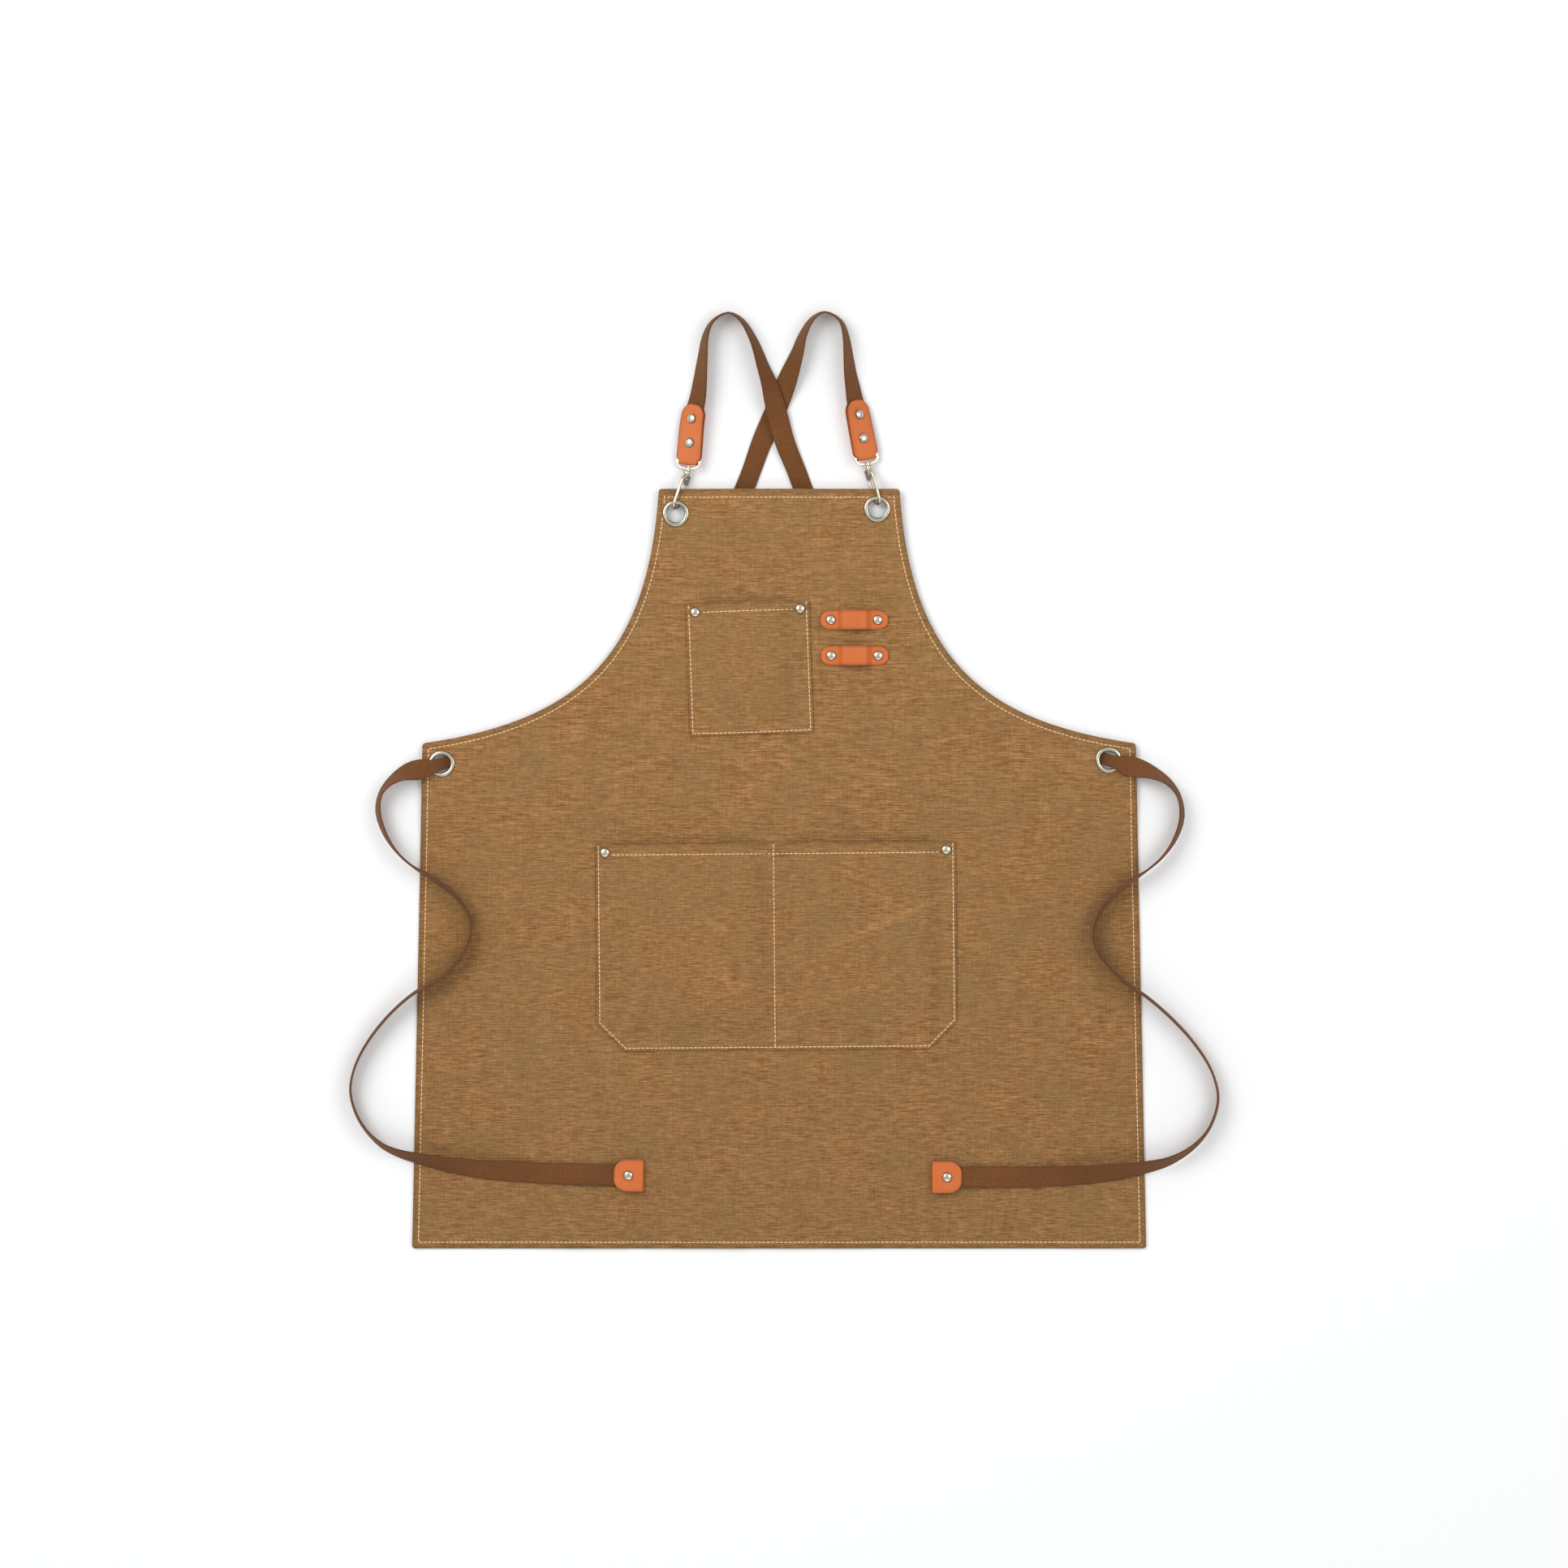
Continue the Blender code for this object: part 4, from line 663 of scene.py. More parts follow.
def ringedSheet(loop, insets, gridStep):
    # a flat sheet in the XY plane, made of edge rings and a squared middle
    bm = bmesh.new()
    inside = bm.faces.layers.int.new("inside")
    verts = [bm.verts.new((point.x, point.y, 0)) for point, _ in loop]
    edges = [bm.edges.new(pair) for pair in zip(verts, verts[1:] + verts[:1])]
    inward = {(round(p.x, 7), round(p.y, 7)): d for p, d in loop}
    depth = 0.0
    for inset in insets:
        made = bmesh.ops.extrude_edge_only(bm, edges=edges)["geom"]
        ring = [v for v in made if isinstance(v, bmesh.types.BMVert)]
        fresh = set(ring)
        edges = [e for e in made if isinstance(e, bmesh.types.BMEdge)
                 and e.verts[0] in fresh and e.verts[1] in fresh]
        moved = {}
        for v in ring:
            direction = inward[(round(v.co.x, 7), round(v.co.y, 7))]
            v.co.xy += direction * (inset - depth)
            moved[(round(v.co.x, 7), round(v.co.y, 7))] = direction
        inward, depth = moved, inset
    middle = bmesh.ops.contextual_create(bm, geom=edges)["faces"]
    for face in middle:
        face[inside] = 1
    low = [min(v.co[k] for v in bm.verts) for k in (0, 1)]
    high = [max(v.co[k] for v in bm.verts) for k in (0, 1)]
    for axis in (0, 1):
        count = round((high[axis] - low[axis]) / gridStep)
        for k in range(1, count):
            point, normal = Vector((0, 0, 0)), Vector((0, 0, 0))
            point[axis] = low[axis] + (high[axis] - low[axis]) * k / count + 1e-5
            normal[axis] = 1
            faces = [f for f in bm.faces if f[inside]
                     and min(v.co[axis] for v in f.verts) < point[axis]
                     < max(v.co[axis] for v in f.verts)]
            geom = faces + list({e for f in faces for e in f.edges})
            geom += list({v for f in faces for v in f.verts})
            bmesh.ops.bisect_plane(bm, geom=geom, dist=1e-7, plane_co=point, plane_no=normal)
    return bm


def roundCorner(spot, corner, first, second, radius):
    # moves a point near a square corner on to the round one
    across = first.x * second.y - first.y * second.x
    away = spot - corner
    a = (away.x * second.y - away.y * second.x) / across
    b = (first.x * away.y - first.y * away.x) / across
    if a >= radius or b >= radius:
        return spot
    a, b = radius - a, radius - b
    scale = max(a, b) / math.hypot(a, b)
    return corner + first * (radius - a * scale) + second * (radius - b * scale)


def holeCutters(spots, low=-0.01, high=0.01):
    # round cutters for posts and tubes: (x, y, radius, sides)
    cutter = bmesh.new()
    for x, y, radius, sides in spots:
        bmesh.ops.create_cone(cutter, cap_ends=True, segments=sides, radius1=radius,
                              radius2=radius, depth=high - low,
                              matrix=Matrix.Translation((x, y, (low + high) / 2)))
    return cutter


# the panel

def bezierAt(a, b, c, d, t):
    return (1 - t) ** 3 * a + 3 * (1 - t) ** 2 * t * b + 3 * (1 - t) * t ** 2 * c + t ** 3 * d


def panelSides():
    # clockwise from the bib's left corner, so that the inward normals point into the cloth
    a = Vector((panel["bibHalf"], panel["topY"]))
    d = Vector((panel["sideHalf"], panel["topY"] - panel["sideDrop"]))
    b = a + panel["topPull"] * Vector((math.sin(panel["topLean"]), -math.cos(panel["topLean"])))
    c = d - panel["sidePull"] * Vector((math.cos(panel["sideLean"]), -math.sin(panel["sideLean"])))
    armhole = [bezierAt(a, b, c, d, t / 80) for t in range(81)]
    bottom = Vector((panel["skirtHalf"], panel["bottomY"]))
    mirror = lambda p: Vector((-p.x, p.y))
    return [[mirror(a), a], armhole, [d, bottom], [bottom, mirror(bottom)],
            [mirror(bottom), mirror(d)], [mirror(p) for p in reversed(armhole)]]


panelOutline = outlineLoop(panelSides(), 0.0050, (0.0007, 0.0014, 0.0021, 0.0030, 0.0045, 0.0065),
                           0.024)
outlineTree = kdtree.KDTree(len(panelOutline) * 4)
for i, (point, _) in enumerate(panelOutline):
    following = panelOutline[(i + 1) % len(panelOutline)][0]
    for k in range(4):
        outlineTree.insert((*point.lerp(following, k / 4), 0), i * 4 + k)
outlineTree.balance()


def edgeRound(depth, radius):
    # how far a folded edge has turned away from the flat at this depth
    if depth >= radius:
        return 0.0
    return radius - math.sqrt(max(radius ** 2 - (radius - depth) ** 2, 0.0))


def buildPanel():
    insets = (0.00025, 0.0007, 0.0014, 0.0030, 0.0050, 0.0057, 0.0063, 0.0070,
              panel["hem"], panel["hem"] + 0.0003)
    bm = ringedSheet(panelOutline, insets, panel["gridStep"])
    bmesh.ops.recalc_face_normals(bm, faces=bm.faces)
    if sum(f.normal.z for f in bm.faces) < 0:
        bmesh.ops.reverse_faces(bm, faces=bm.faces)
    for v in thickenFaces(bm):
        v.co.z = 0.001
    tube = eyelet["hole"] + eyelet["tube"] + gap
    spots = [(x, y, tube, 48) for x, y in eyelet["places"].values()]
    posts = [spot.xy for pocket in pockets.values() for spot in mouthCorners(pocket)]
    posts += [Vector((toolLoop[key][0] + side * toolLoop["rivets"] / 2, toolLoop[key][1]))
              for key in ("upper", "lower") for side in (-1, 1)]
    spots += [(x, y, rivet["post"] + gap, 12) for x, y in posts]
    bm = withCutter(bm, holeCutters(spots))
    edge = bm.verts.layers.float.new("edge")
    sides = panelSides()
    corners = [(sides[i][0], (sides[i - 1][-2] - sides[i][0]).normalized(),
                (sides[i][1] - sides[i][0]).normalized()) for i in range(len(sides))]
    washers = [Vector(spot) for spot in eyelet["places"].values()]
    radius = panel["layers"] * panel["thick"] / 2 - 0.0001
    for v in bm.verts:
        spot = v.co.xy
        depth = outlineTree.find((spot.x, spot.y, 0))[2]
        top = v.co.z > 0.0005
        layers = panel["layers"] if depth < panel["hem"] + 0.0001 else 1
        if not top and depth < 0.02:  # the folded layers stay off the washers
            for centre in washers:
                if (spot - centre).length < eyelet["outer"] + 0.0006:
                    layers = 1
        height = clothHeight(spot.x, spot.y)
        # painted shade: the canvas darkens within a few millimetres of the outline, where the hem
        # folds under
        v[edge] = 1 - easeStep((depth - 0.001) / 0.008)
        turned = edgeRound(depth, radius)
        dent = 0.00022 * math.exp(-((depth - panel["stitch"]) / 0.0008) ** 2)
        pucker = 0.00012 * math.sin(spot.x * 420) * math.sin(spot.y * 420)
        pucker *= easeStep(1 - abs(depth - 0.006) / 0.008)
        if top:
            height += pucker - turned - dent
        else:
            height += turned - layers * panel["thick"]
        for corner, first, second in corners:
            if (spot - corner).length < 0.006:
                spot = roundCorner(spot, corner, first, second, panel["corner"])
        v.co = (spot.x, spot.y, height)
    return addPiece("apronBody", bm, canvasCloth, "root", ["apron_body"], 50)


apronBody = buildPanel()
print("panel:", len(apronBody.data.polygons), "faces")


# patch pockets

def pocketSwell(pocket, x, y):
    wide, tall = pocket["size"]
    run = pocketShape["run"]
    seam = pocketShape["rivetIn"] + rivet["cap"] + gap
    share = easeStep((wide / 2 - seam - abs(x)) / run)
    share *= easeStep((y + tall / 2 - pocketShape["bottomSeam"]) / (2 * run))
    if pocket["chamfer"]:
        share *= easeStep((wide / 2 - abs(x) + y + tall / 2 - pocket["chamfer"]) / (2 * run))
    if pocket["divider"] is not None:
        share *= easeStep((abs(x - pocket["divider"]) - pocketShape["dividerHalf"]) / run)
    return pocketShape["swell"] * share


def pocketSides(pocket):
    # clockwise from the mouth's left corner
    x, y = pocket["size"][0] / 2, pocket["size"][1] / 2
    cut = pocket["chamfer"]
    if cut:
        corners = [(-x, y), (x, y), (x, cut - y), (x - cut, -y), (cut - x, -y), (-x, cut - y)]
    else:
        corners = [(-x, y), (x, y), (x, -y), (-x, -y)]
    corners = [Vector(c) for c in corners]
    return [[a, b] for a, b in zip(corners, corners[1:] + corners[:1])]


def pocketTop(pocket, x, y):
    # the cloth's front face over the pocket, without the bulk of its folded edges
    spot = pocketFrame(pocket) @ Vector((x, y, 0))
    return clothHeight(spot.x, spot.y) + gap + pocketSwell(pocket, x, y) + panel["thick"]


def creaseAt(pocket, x, y):
    # ridges left by what the pocket carries: (start, end, height), widest in the middle
    height = 0.0
    for start, end, high in pocket["creases"]:
        a, b, p = Vector(start), Vector(end), Vector((x, y))
        share = (p - a).dot(b - a) / (b - a).length_squared
        if 0 < share < 1:
            off = (p - a - (b - a) * share).length
            height += high * math.exp(-(off / 0.0028) ** 2) * math.sin(math.pi * share) ** 0.5
    return height


def edgeDepth(pocket, x, y):
    # distances to the mouth and to the nearest sewn edge
    wide, tall = pocket["size"]
    sewn = min(wide / 2 - abs(x), y + tall / 2)
    if pocket["chamfer"]:
        sewn = min(sewn, (wide / 2 - abs(x) + y + tall / 2 - pocket["chamfer"]) / math.sqrt(2))
    return tall / 2 - y, sewn


def buildPocket(key, name):
    pocket = pockets[key]
    stitch = pocket["edgeStitch"]
    insets = (0.0002, 0.0006, 0.0012, stitch - 0.0006, stitch, stitch + 0.0006, 0.0052,
              pocket["mouthStitch"], 0.0116)
    loop = outlineLoop(pocketSides(pocket), 0.0045, (0.0006, 0.0014, 0.0026), 0.028)
    bm = ringedSheet(loop, insets, pocketShape["gridStep"])
    bmesh.ops.recalc_face_normals(bm, faces=bm.faces)
    if sum(f.normal.z for f in bm.faces) < 0:
        bmesh.ops.reverse_faces(bm, faces=bm.faces)
    for v in thickenFaces(bm):
        v.co.z = 0.001
    back = pocketFrame(pocket).inverted()
    spots = [back @ spot for spot in mouthCorners(pocket)]
    bm = withCutter(bm, holeCutters([(s.x, s.y, rivet["post"] + gap, 12) for s in spots]))
    edge = bm.verts.layers.float.new("edge")
    creaseHighlight = bm.verts.layers.float.new("creaseHighlight")
    for v in bm.verts:
        x, y, top = v.co.x, v.co.y, v.co.z > 0.0005
        mouth, sewn = edgeDepth(pocket, x, y)
        height = pocketTop(pocket, x, y)
        near = min(mouth, sewn)
        # side seams have one turned-in layer, the mouth is a rolled hem
        rim = max(min((s.xy - v.co.xy).length for s in spots) - rivet["cap"], 0)
        bulk = 0.0005 * easeStep(1 - (sewn - 0.006) / 0.003)
        bulk = max(bulk, 0.0006 * easeStep(1 - (mouth - pocket["mouthStitch"] - 0.001) / 0.003))
        bulk *= easeStep(rim / 0.004)
        dent = 0.0003 * math.exp(-((sewn - stitch) / 0.0007) ** 2)
        dent = max(dent, 0.00025 * math.exp(-((mouth - pocket["mouthStitch"]) / 0.0008) ** 2))
        if pocket["divider"] is not None:
            away = abs(x - pocket["divider"])
            dent = max(dent, 0.0003 * math.exp(-(away / 0.0012) ** 2))
        # painted shade: the canvas darkens towards the pocket's mouth and sewn edges
        v[edge] = 1 - easeStep((near - 0.0005) / 0.004)
        turned = edgeRound(near, 0.0005)
        crease = creaseAt(pocket, x, y) * min(pocketSwell(pocket, x, y) / 0.003, 1)
        # painted highlight: pale colour along the crease ridges
        v[creaseHighlight] = min(crease / 0.001, 1)
        if top:
            height += bulk - dent - turned + crease
        else:
            height -= panel["thick"] - turned - crease
        spot = pocketFrame(pocket) @ Vector((x, y, 0))
        v.co = (spot.x, spot.y, height)
    return addPiece(name, bm, canvasCloth, "root", [key + "_pocket"], 50)


chestPocket = buildPocket("chest", "chestPocket")
lowerPocket = buildPocket("lower", "lowerPocket")
print("pockets:", len(chestPocket.data.polygons) + len(lowerPocket.data.polygons), "faces")


# sewing: one small bead of thread for each stitch

stitching = {"pitch": 0.0042, "long": 0.0039, "wide": 0.0011, "high": 0.0006, "seed": 7,
             "underLift": 0.0002}  # pressed in where the hem lies on the table
dice = random.Random(stitching["seed"])


def makeBead():
    # points and faces of one stitch at unit size, lying along x
    bead = bmesh.new()
    bmesh.ops.create_uvsphere(bead, u_segments=6, v_segments=5, radius=1,
                              matrix=Matrix.Rotation(math.pi / 2, 4, "Y"))
    bead.verts.index_update()
    points = [v.co.copy() for v in bead.verts]
    faces = [[v.index for v in face.verts] for face in bead.faces]
    bead.free()
    return points, faces


beadPoints, beadFaces = makeBead()


def sewAlong(bm, line, heightAt, avoid=(), lift=0.22 * stitching["high"]):
    # stitches at an even pitch along a flat polyline, half sunk into the cloth
    lengths = [0.0]
    for a, b in zip(line, line[1:]):
        lengths.append(lengths[-1] + (b - a).length)
    count = round(lengths[-1] / stitching["pitch"])
    i = 0
    for k in range(count):
        spot = lengths[-1] * (k + 0.5) / count
        while i < len(line) - 2 and spot > lengths[i + 1]:
            i += 1
        share = (spot - lengths[i]) / (lengths[i + 1] - lengths[i])
        point = line[i].lerp(line[i + 1], share)
        turn = dice.uniform(-0.05, 0.05)
        stray = dice.uniform(-0.00008, 0.00008)
        if any((point - Vector(centre)).length < reach for centre, reach in avoid):
            continue
        along = (line[i + 1] - line[i]).normalized()
        half = along * stitching["long"] * 0.4
        rise = heightAt(*(point + half)) - heightAt(*(point - half))
        place = Matrix.Translation((*point, heightAt(*point) + lift + stray))
        place @= Matrix.Rotation(math.atan2(along.y, along.x) + turn, 4, "Z")
        place @= Matrix.Rotation(-math.atan2(rise, stitching["long"] * 0.8), 4, "Y")
        place @= Matrix.Diagonal((stitching["long"] / 2, stitching["wide"] / 2,
                                  stitching["high"] / 2, 1))
        verts = [bm.verts.new(place @ co) for co in beadPoints]
        for face in beadFaces:
            bm.faces.new([verts[i] for i in face])


def hemLine(first, last, depth):
    # the outline between two points of the loop, moved inwards
    return [point + inward * depth for point, inward in panelOutline[first:last]]


def buildHemStitching():
    bm = bmesh.new()
    counts = [len(sampleSide(side, 0.0050, (0.0007, 0.0014, 0.0021, 0.0030, 0.0045, 0.0065))[0])
              for side in panelSides()]
    starts = [sum(counts[:i]) for i in range(len(counts) + 1)]
    avoid = [(spot, eyelet["outer"] + 0.0012) for spot in eyelet["places"].values()]
    dent = lambda x, y: clothHeight(x, y) - 0.0002
    under = lambda x, y: clothHeight(x, y) - panel["layers"] * panel["thick"]
    for i in range(len(counts)):
        depth = panel["topStitch"] if i == 0 else panel["stitch"]
        line = hemLine(starts[i], starts[i + 1], depth)
        following = panelOutline[starts[i + 1] % len(panelOutline)]
        line.append(following[0] + following[1] * depth)
        sewAlong(bm, line, dent, avoid)
        sewAlong(bm, line, under, avoid, stitching["underLift"])
    return addPiece("hemStitching", bm, sewingThread, "root", [], 80)


def buildPocketStitching(key, name):
    pocket = pockets[key]
    turn = pocketFrame(pocket)
    back = turn.inverted()

    def heightAt(x, y):
        local = back @ Vector((x, y, 0))
        return pocketTop(pocket, local.x, local.y) + 0.0002

    def underAt(x, y):
        return clothHeight(x, y) - panel["thick"]

    def toPanel(points):
        return [(turn @ Vector((x, y, 0))).xy for x, y in points]

    wide, tall = pocket["size"]
    inset, mouth, cut = pocket["edgeStitch"], pocket["mouthStitch"], pocket["chamfer"]
    x, y = wide / 2 - inset, tall / 2 - inset
    top = tall / 2 - 0.0006
    bow = 0.0012 if not cut else 0.0
    if cut:
        c = cut - inset * (2 - math.sqrt(2))
        edgeLine = [(-x, top), (-x, c - y), (c - x, -y), (x - c, -y), (x, c - y), (x, top)]
    else:
        bottom = [(-x + 2 * x * k / 8, -y + bow * (1 - (k / 4 - 1) ** 2) * -0.6) for k in range(9)]
        edgeLine = [(-x, top)] + bottom + [(x, top)]
    avoid = [((spot.x, spot.y), rivet["cap"] + 0.0016) for spot in mouthCorners(pocket)]
    bm = bmesh.new()
    sewAlong(bm, toPanel(edgeLine), heightAt, avoid)
    sewAlong(bm, toPanel(edgeLine), underAt, avoid, -0.22 * stitching["high"])
    sewAlong(bm, toPanel([(-x, tall / 2 - mouth), (x, tall / 2 - mouth)]), heightAt, avoid)
    if pocket["divider"] is not None:
        middle = pocket["divider"]
        line = toPanel([(middle, -y), (middle, tall / 2 - 0.0006)])
        sewAlong(bm, line, heightAt)
        sewAlong(bm, line, underAt, lift=-0.22 * stitching["high"])
    return addPiece(name, bm, sewingThread, "root", [], 80)


buildHemStitching()
buildPocketStitching("chest", "chestPocketStitching")
buildPocketStitching("lower", "lowerPocketStitching")
print("sewing done")


# flat bands: a grid whose x runs along and y across from -1 to 1

bandColumns = (-1, -0.965, -0.9, -0.62, -0.3, 0, 0.3, 0.62, 0.9, 0.965, 1)


def bandGrid(stations, columns=bandColumns):
    bm = bmesh.new()
    rows, last = len(stations) - 1, len(columns) - 1
    bmesh.ops.create_grid(bm, x_segments=rows, y_segments=last, size=1.0)
    for v in bm.verts:
        v.co.x = stations[round((v.co.x + 1) / 2 * rows)]
        v.co.y = columns[round((v.co.y + 1) / 2 * last)]
    return bm


def rimThick(across, sharpness=14):
    # share of the full thickness: the edges of a band are rounded
    return max(0.30, (1 - min(abs(across), 1) ** sharpness) ** 0.5)


def buildStrap(side):
    ribbon = ribbons[side]
    start, finish = bail["barHalf"] + gap, ribbon.length - webbing["endGap"]
    stations = [start] + [p for p in ribbon.places if start + 0.001 < p < finish - 0.001]
    bm = bandGrid(stations + [finish])
    flat = bm.loops.layers.uv.new("flat")
    upper = thickenFaces(bm)
    for face in bm.faces:
        for loop in face.loops:
            loop[flat].uv = (loop.vert.co.x, loop.vert.co.y * webbing["width"] / 2)
    for v in bm.verts:
        point, _, across, out, wide, thick = ribbon.at(v.co.x)
        level = (1 if v in upper else -1) * thick * webbing["thick"] / 2 * rimThick(v.co.y)
        v.co = point + across * v.co.y * wide * webbing["width"] / 2 + out * level
    return addPiece("strapFrom" + side, bm, webbingCloth, "root",
                    ["strap_from_" + side.lower()])


def foldedLeather(name, ribbon, shape, narrow, centre, fromEnd, nodes):
    # leather folded round a bar or a strap's end: two leaves with round far ends and a bend
    thick = leather["thick"]
    radius = webbing["thick"] / 2 + gap + thick / 2
    arc = math.pi / 2 * radius
    rounding = shape["width"] * 0.42
    reachEnd = arc + shape["leaf"]
    leafEnd = [reachEnd - rounding * (1 - math.sin(math.radians(a))) for a in range(0, 90, 8)]
    straight = [arc + (shape["leaf"] - rounding) * k / 10 for k in range(1, 10)]
    half = [arc * k / 6 for k in range(7)] + straight + leafEnd
    bm = bandGrid([-p for p in reversed(half[1:])] + half)
    edge = bm.verts.layers.float.new("edge")
    upper = thickenFaces(bm)
    for v in bm.verts:
        place, across = v.co.x, v.co.y
        reach = abs(place)
        past = max(0.0, reach - (reachEnd - rounding)) / rounding
        width = shape["width"] / 2 - rounding + rounding * math.sqrt(1 - min(past, 1.0) ** 2)
        turn = easeStep((reach - arc * 0.9) / 0.003)
        width = narrow + (width - narrow) * turn if narrow < width else width
        rim = rimThick(max(abs(across), past), 12)
        v[edge] = easeStep((max(abs(across) * 0.99, past) - 0.86) / 0.12)
        level = radius + (thick / 2 if v in upper else -thick / 2) * rim
        if reach > arc:
            v.co = (reach - arc - centre, across * width, math.copysign(level, place))
        else:
            bend = place / radius
            v.co = (-centre - level * math.cos(bend), across * width, level * math.sin(bend))
        s, t, n = v.co
        point, _, sideways, out, _, _ = ribbon.at(ribbon.length - s if fromEnd else s)
        v.co = point + sideways * t + out * n
    bm = punchHoles(bm, shape["holes"])
    return addPiece(name, bm, tanLeather, "root", nodes)


def punchHoles(bm, places):
    # post holes through leather, along each rivet's own axis
    cutter = bmesh.new()
    for place in places:
        bmesh.ops.create_cone(cutter, cap_ends=True, segments=12, radius1=rivet["post"] + gap,
                              radius2=rivet["post"] + gap, depth=0.012,
                              matrix=place @ Matrix.Translation((0, 0, -0.003)))
    return withCutter(bm, cutter)


def buildRivet(name, place, stack, nodes):
    # domed cap with its post, and the back cap that the post is set into
    cap, high, reach = rivet["cap"], rivet["high"], gap + stack + rivet["socket"]
    dome = [(cap * math.sin(math.radians(a)), high * (0.16 + 0.84 * math.cos(math.radians(a))))
            for a in (0, 10, 20, 30, 40, 48, 55, 61, 67, 73, 81, 90)]
    dome[0] = (0, high)
    profile = dome + [(cap * 0.985, 0.0), (rivet["post"], 0), (rivet["post"], -reach), (0, -reach)]
    lifted = place @ Matrix.Translation((0, 0, gap))
    # painted shade and dark reflection darken the cap's rim
    addPiece("rivet" + name, spinProfile(profile, 32, lifted, [(cap, 0.0006)]), nickelPlate,
             "root", ["rivet_" + nodes])
    burr, bore = rivet["burr"], rivet["post"] + gap
    profile = [(0, -burr), (cap * 0.8, -burr), (cap * 0.95, -burr * 0.86), (cap, -burr * 0.55),
               (cap, -0.0001), (cap * 0.98, 0), (bore, 0), (bore, -rivet["socket"]),
               (0, -rivet["socket"])]
    lowered = place @ Matrix.Translation((0, 0, -stack - gap))
    addPiece("burr" + name, spinProfile(profile, 32, lowered), nickelPlate, "root",
             ["burr_" + nodes])


def buildLeatherAndStraps(side):
    ribbon, low = ribbons[side], side.lower()
    strap = buildStrap(side)
    face = webbing["thick"] / 2 + gap + leather["thick"]
    foldEnd = tab["foldCentre"] + face
    tabSpots = [ribbon.place(s, face) for s in tab["rivets"]]
    tipSpot = ribbon.place(ribbon.length - tip["rivet"], face)
    foldedLeather("shoulderTab" + side, ribbon,
                  {"width": tab["width"], "leaf": tab["length"] - foldEnd, "holes": tabSpots},
                  tab["foldHalf"], tab["foldCentre"], False, ["shoulder_tab_" + low])
    strapTip = foldedLeather("strapTip" + side, ribbon,
                             {"width": tip["width"], "leaf": tip["length"], "holes": [tipSpot]},
                             tip["width"] / 2, -tip["pull"], True, ["strap_tip_" + low])
    for i, spot in enumerate(tabSpots):
        buildRivet("Tab%s%d" % (side, i + 1), spot, 2 * face, "tab_%s_%d" % (low, i + 1))
    buildRivet("Tip" + side, tipSpot, 2 * face, "tip_" + low)


for side in ("Left", "Right"):
    buildLeatherAndStraps(side)
print("straps and tabs made")


# tool loops: strips riveted at both ends and arched between them

def buildToolLoop(key):
    centreX, centreY = toolLoop[key]
    end = toolLoop["width"] / 2
    flat = toolLoop["rivets"] / 2 - rivet["cap"] - gap
    spots = [0.0, 0.004, 0.008] + [flat - toolLoop["run"] * k / 8 for k in range(8, -1, -1)]
    spots += [toolLoop["length"] / 2 - end * (1 - math.cos(math.radians(a)))
              for a in range(90, -1, -9)]
    spots = sorted(set(round(s, 6) for s in spots))
    bm = bandGrid([-s for s in reversed(spots[1:])] + spots)
    edge = bm.verts.layers.float.new("edge")
    upper = thickenFaces(bm)
    base = frontHeight(centreY) + gap
    for v in bm.verts:
        past = max(0.0, abs(v.co.x) - (toolLoop["length"] / 2 - end)) / end
        swell = toolLoop["swell"] * easeStep((flat - abs(v.co.x)) / toolLoop["run"])
        across = v.co.y * end * math.sqrt(max(1 - past ** 2, 0.0004))
        away = max(abs(v.co.y), past)
        rim = rimThick(away, 12)
        v[edge] = easeStep((away - 0.84) / 0.14)
        middle = leather["thick"] / 2
        level = middle + (middle if v in upper else -middle) * rim
        v.co = (centreX + v.co.x, centreY + across, base + swell + level)
    places = [Matrix.Translation((centreX + side * toolLoop["rivets"] / 2, centreY,
                                  base + leather["thick"])) for side in (-1, 1)]
    bm = punchHoles(bm, places)
    addPiece("toolLoop" + key.capitalize(), bm, tanLeather, "root",
             ["tool_loop_" + key])
    for word, place in zip(("left", "right"), places):
        buildRivet("Loop" + key.capitalize() + word.capitalize(), place,
                   leather["thick"] + gap + panel["thick"], "loop_%s_%s" % (key, word))


for key in ("upper", "lower"):
    buildToolLoop(key)

for key, pocket in pockets.items():
    for word, spot in zip(("left", "right"), mouthCorners(pocket)):
        slope = (frontHeight(spot.y + 0.001) - frontHeight(spot.y - 0.001)) / 0.002
        place = Matrix.Translation((spot.x, spot.y, frontHeight(spot.y) + gap + panel["thick"]))
        place @= Matrix.Rotation(slope, 4, "X")
        buildRivet(key.capitalize() + word.capitalize(), place, gap + 2 * panel["thick"],
                   "%s_%s" % (key, word))
print("tool loops and rivets made")


# eyelets: a rolled flange and tube on the front, a washer behind the cloth

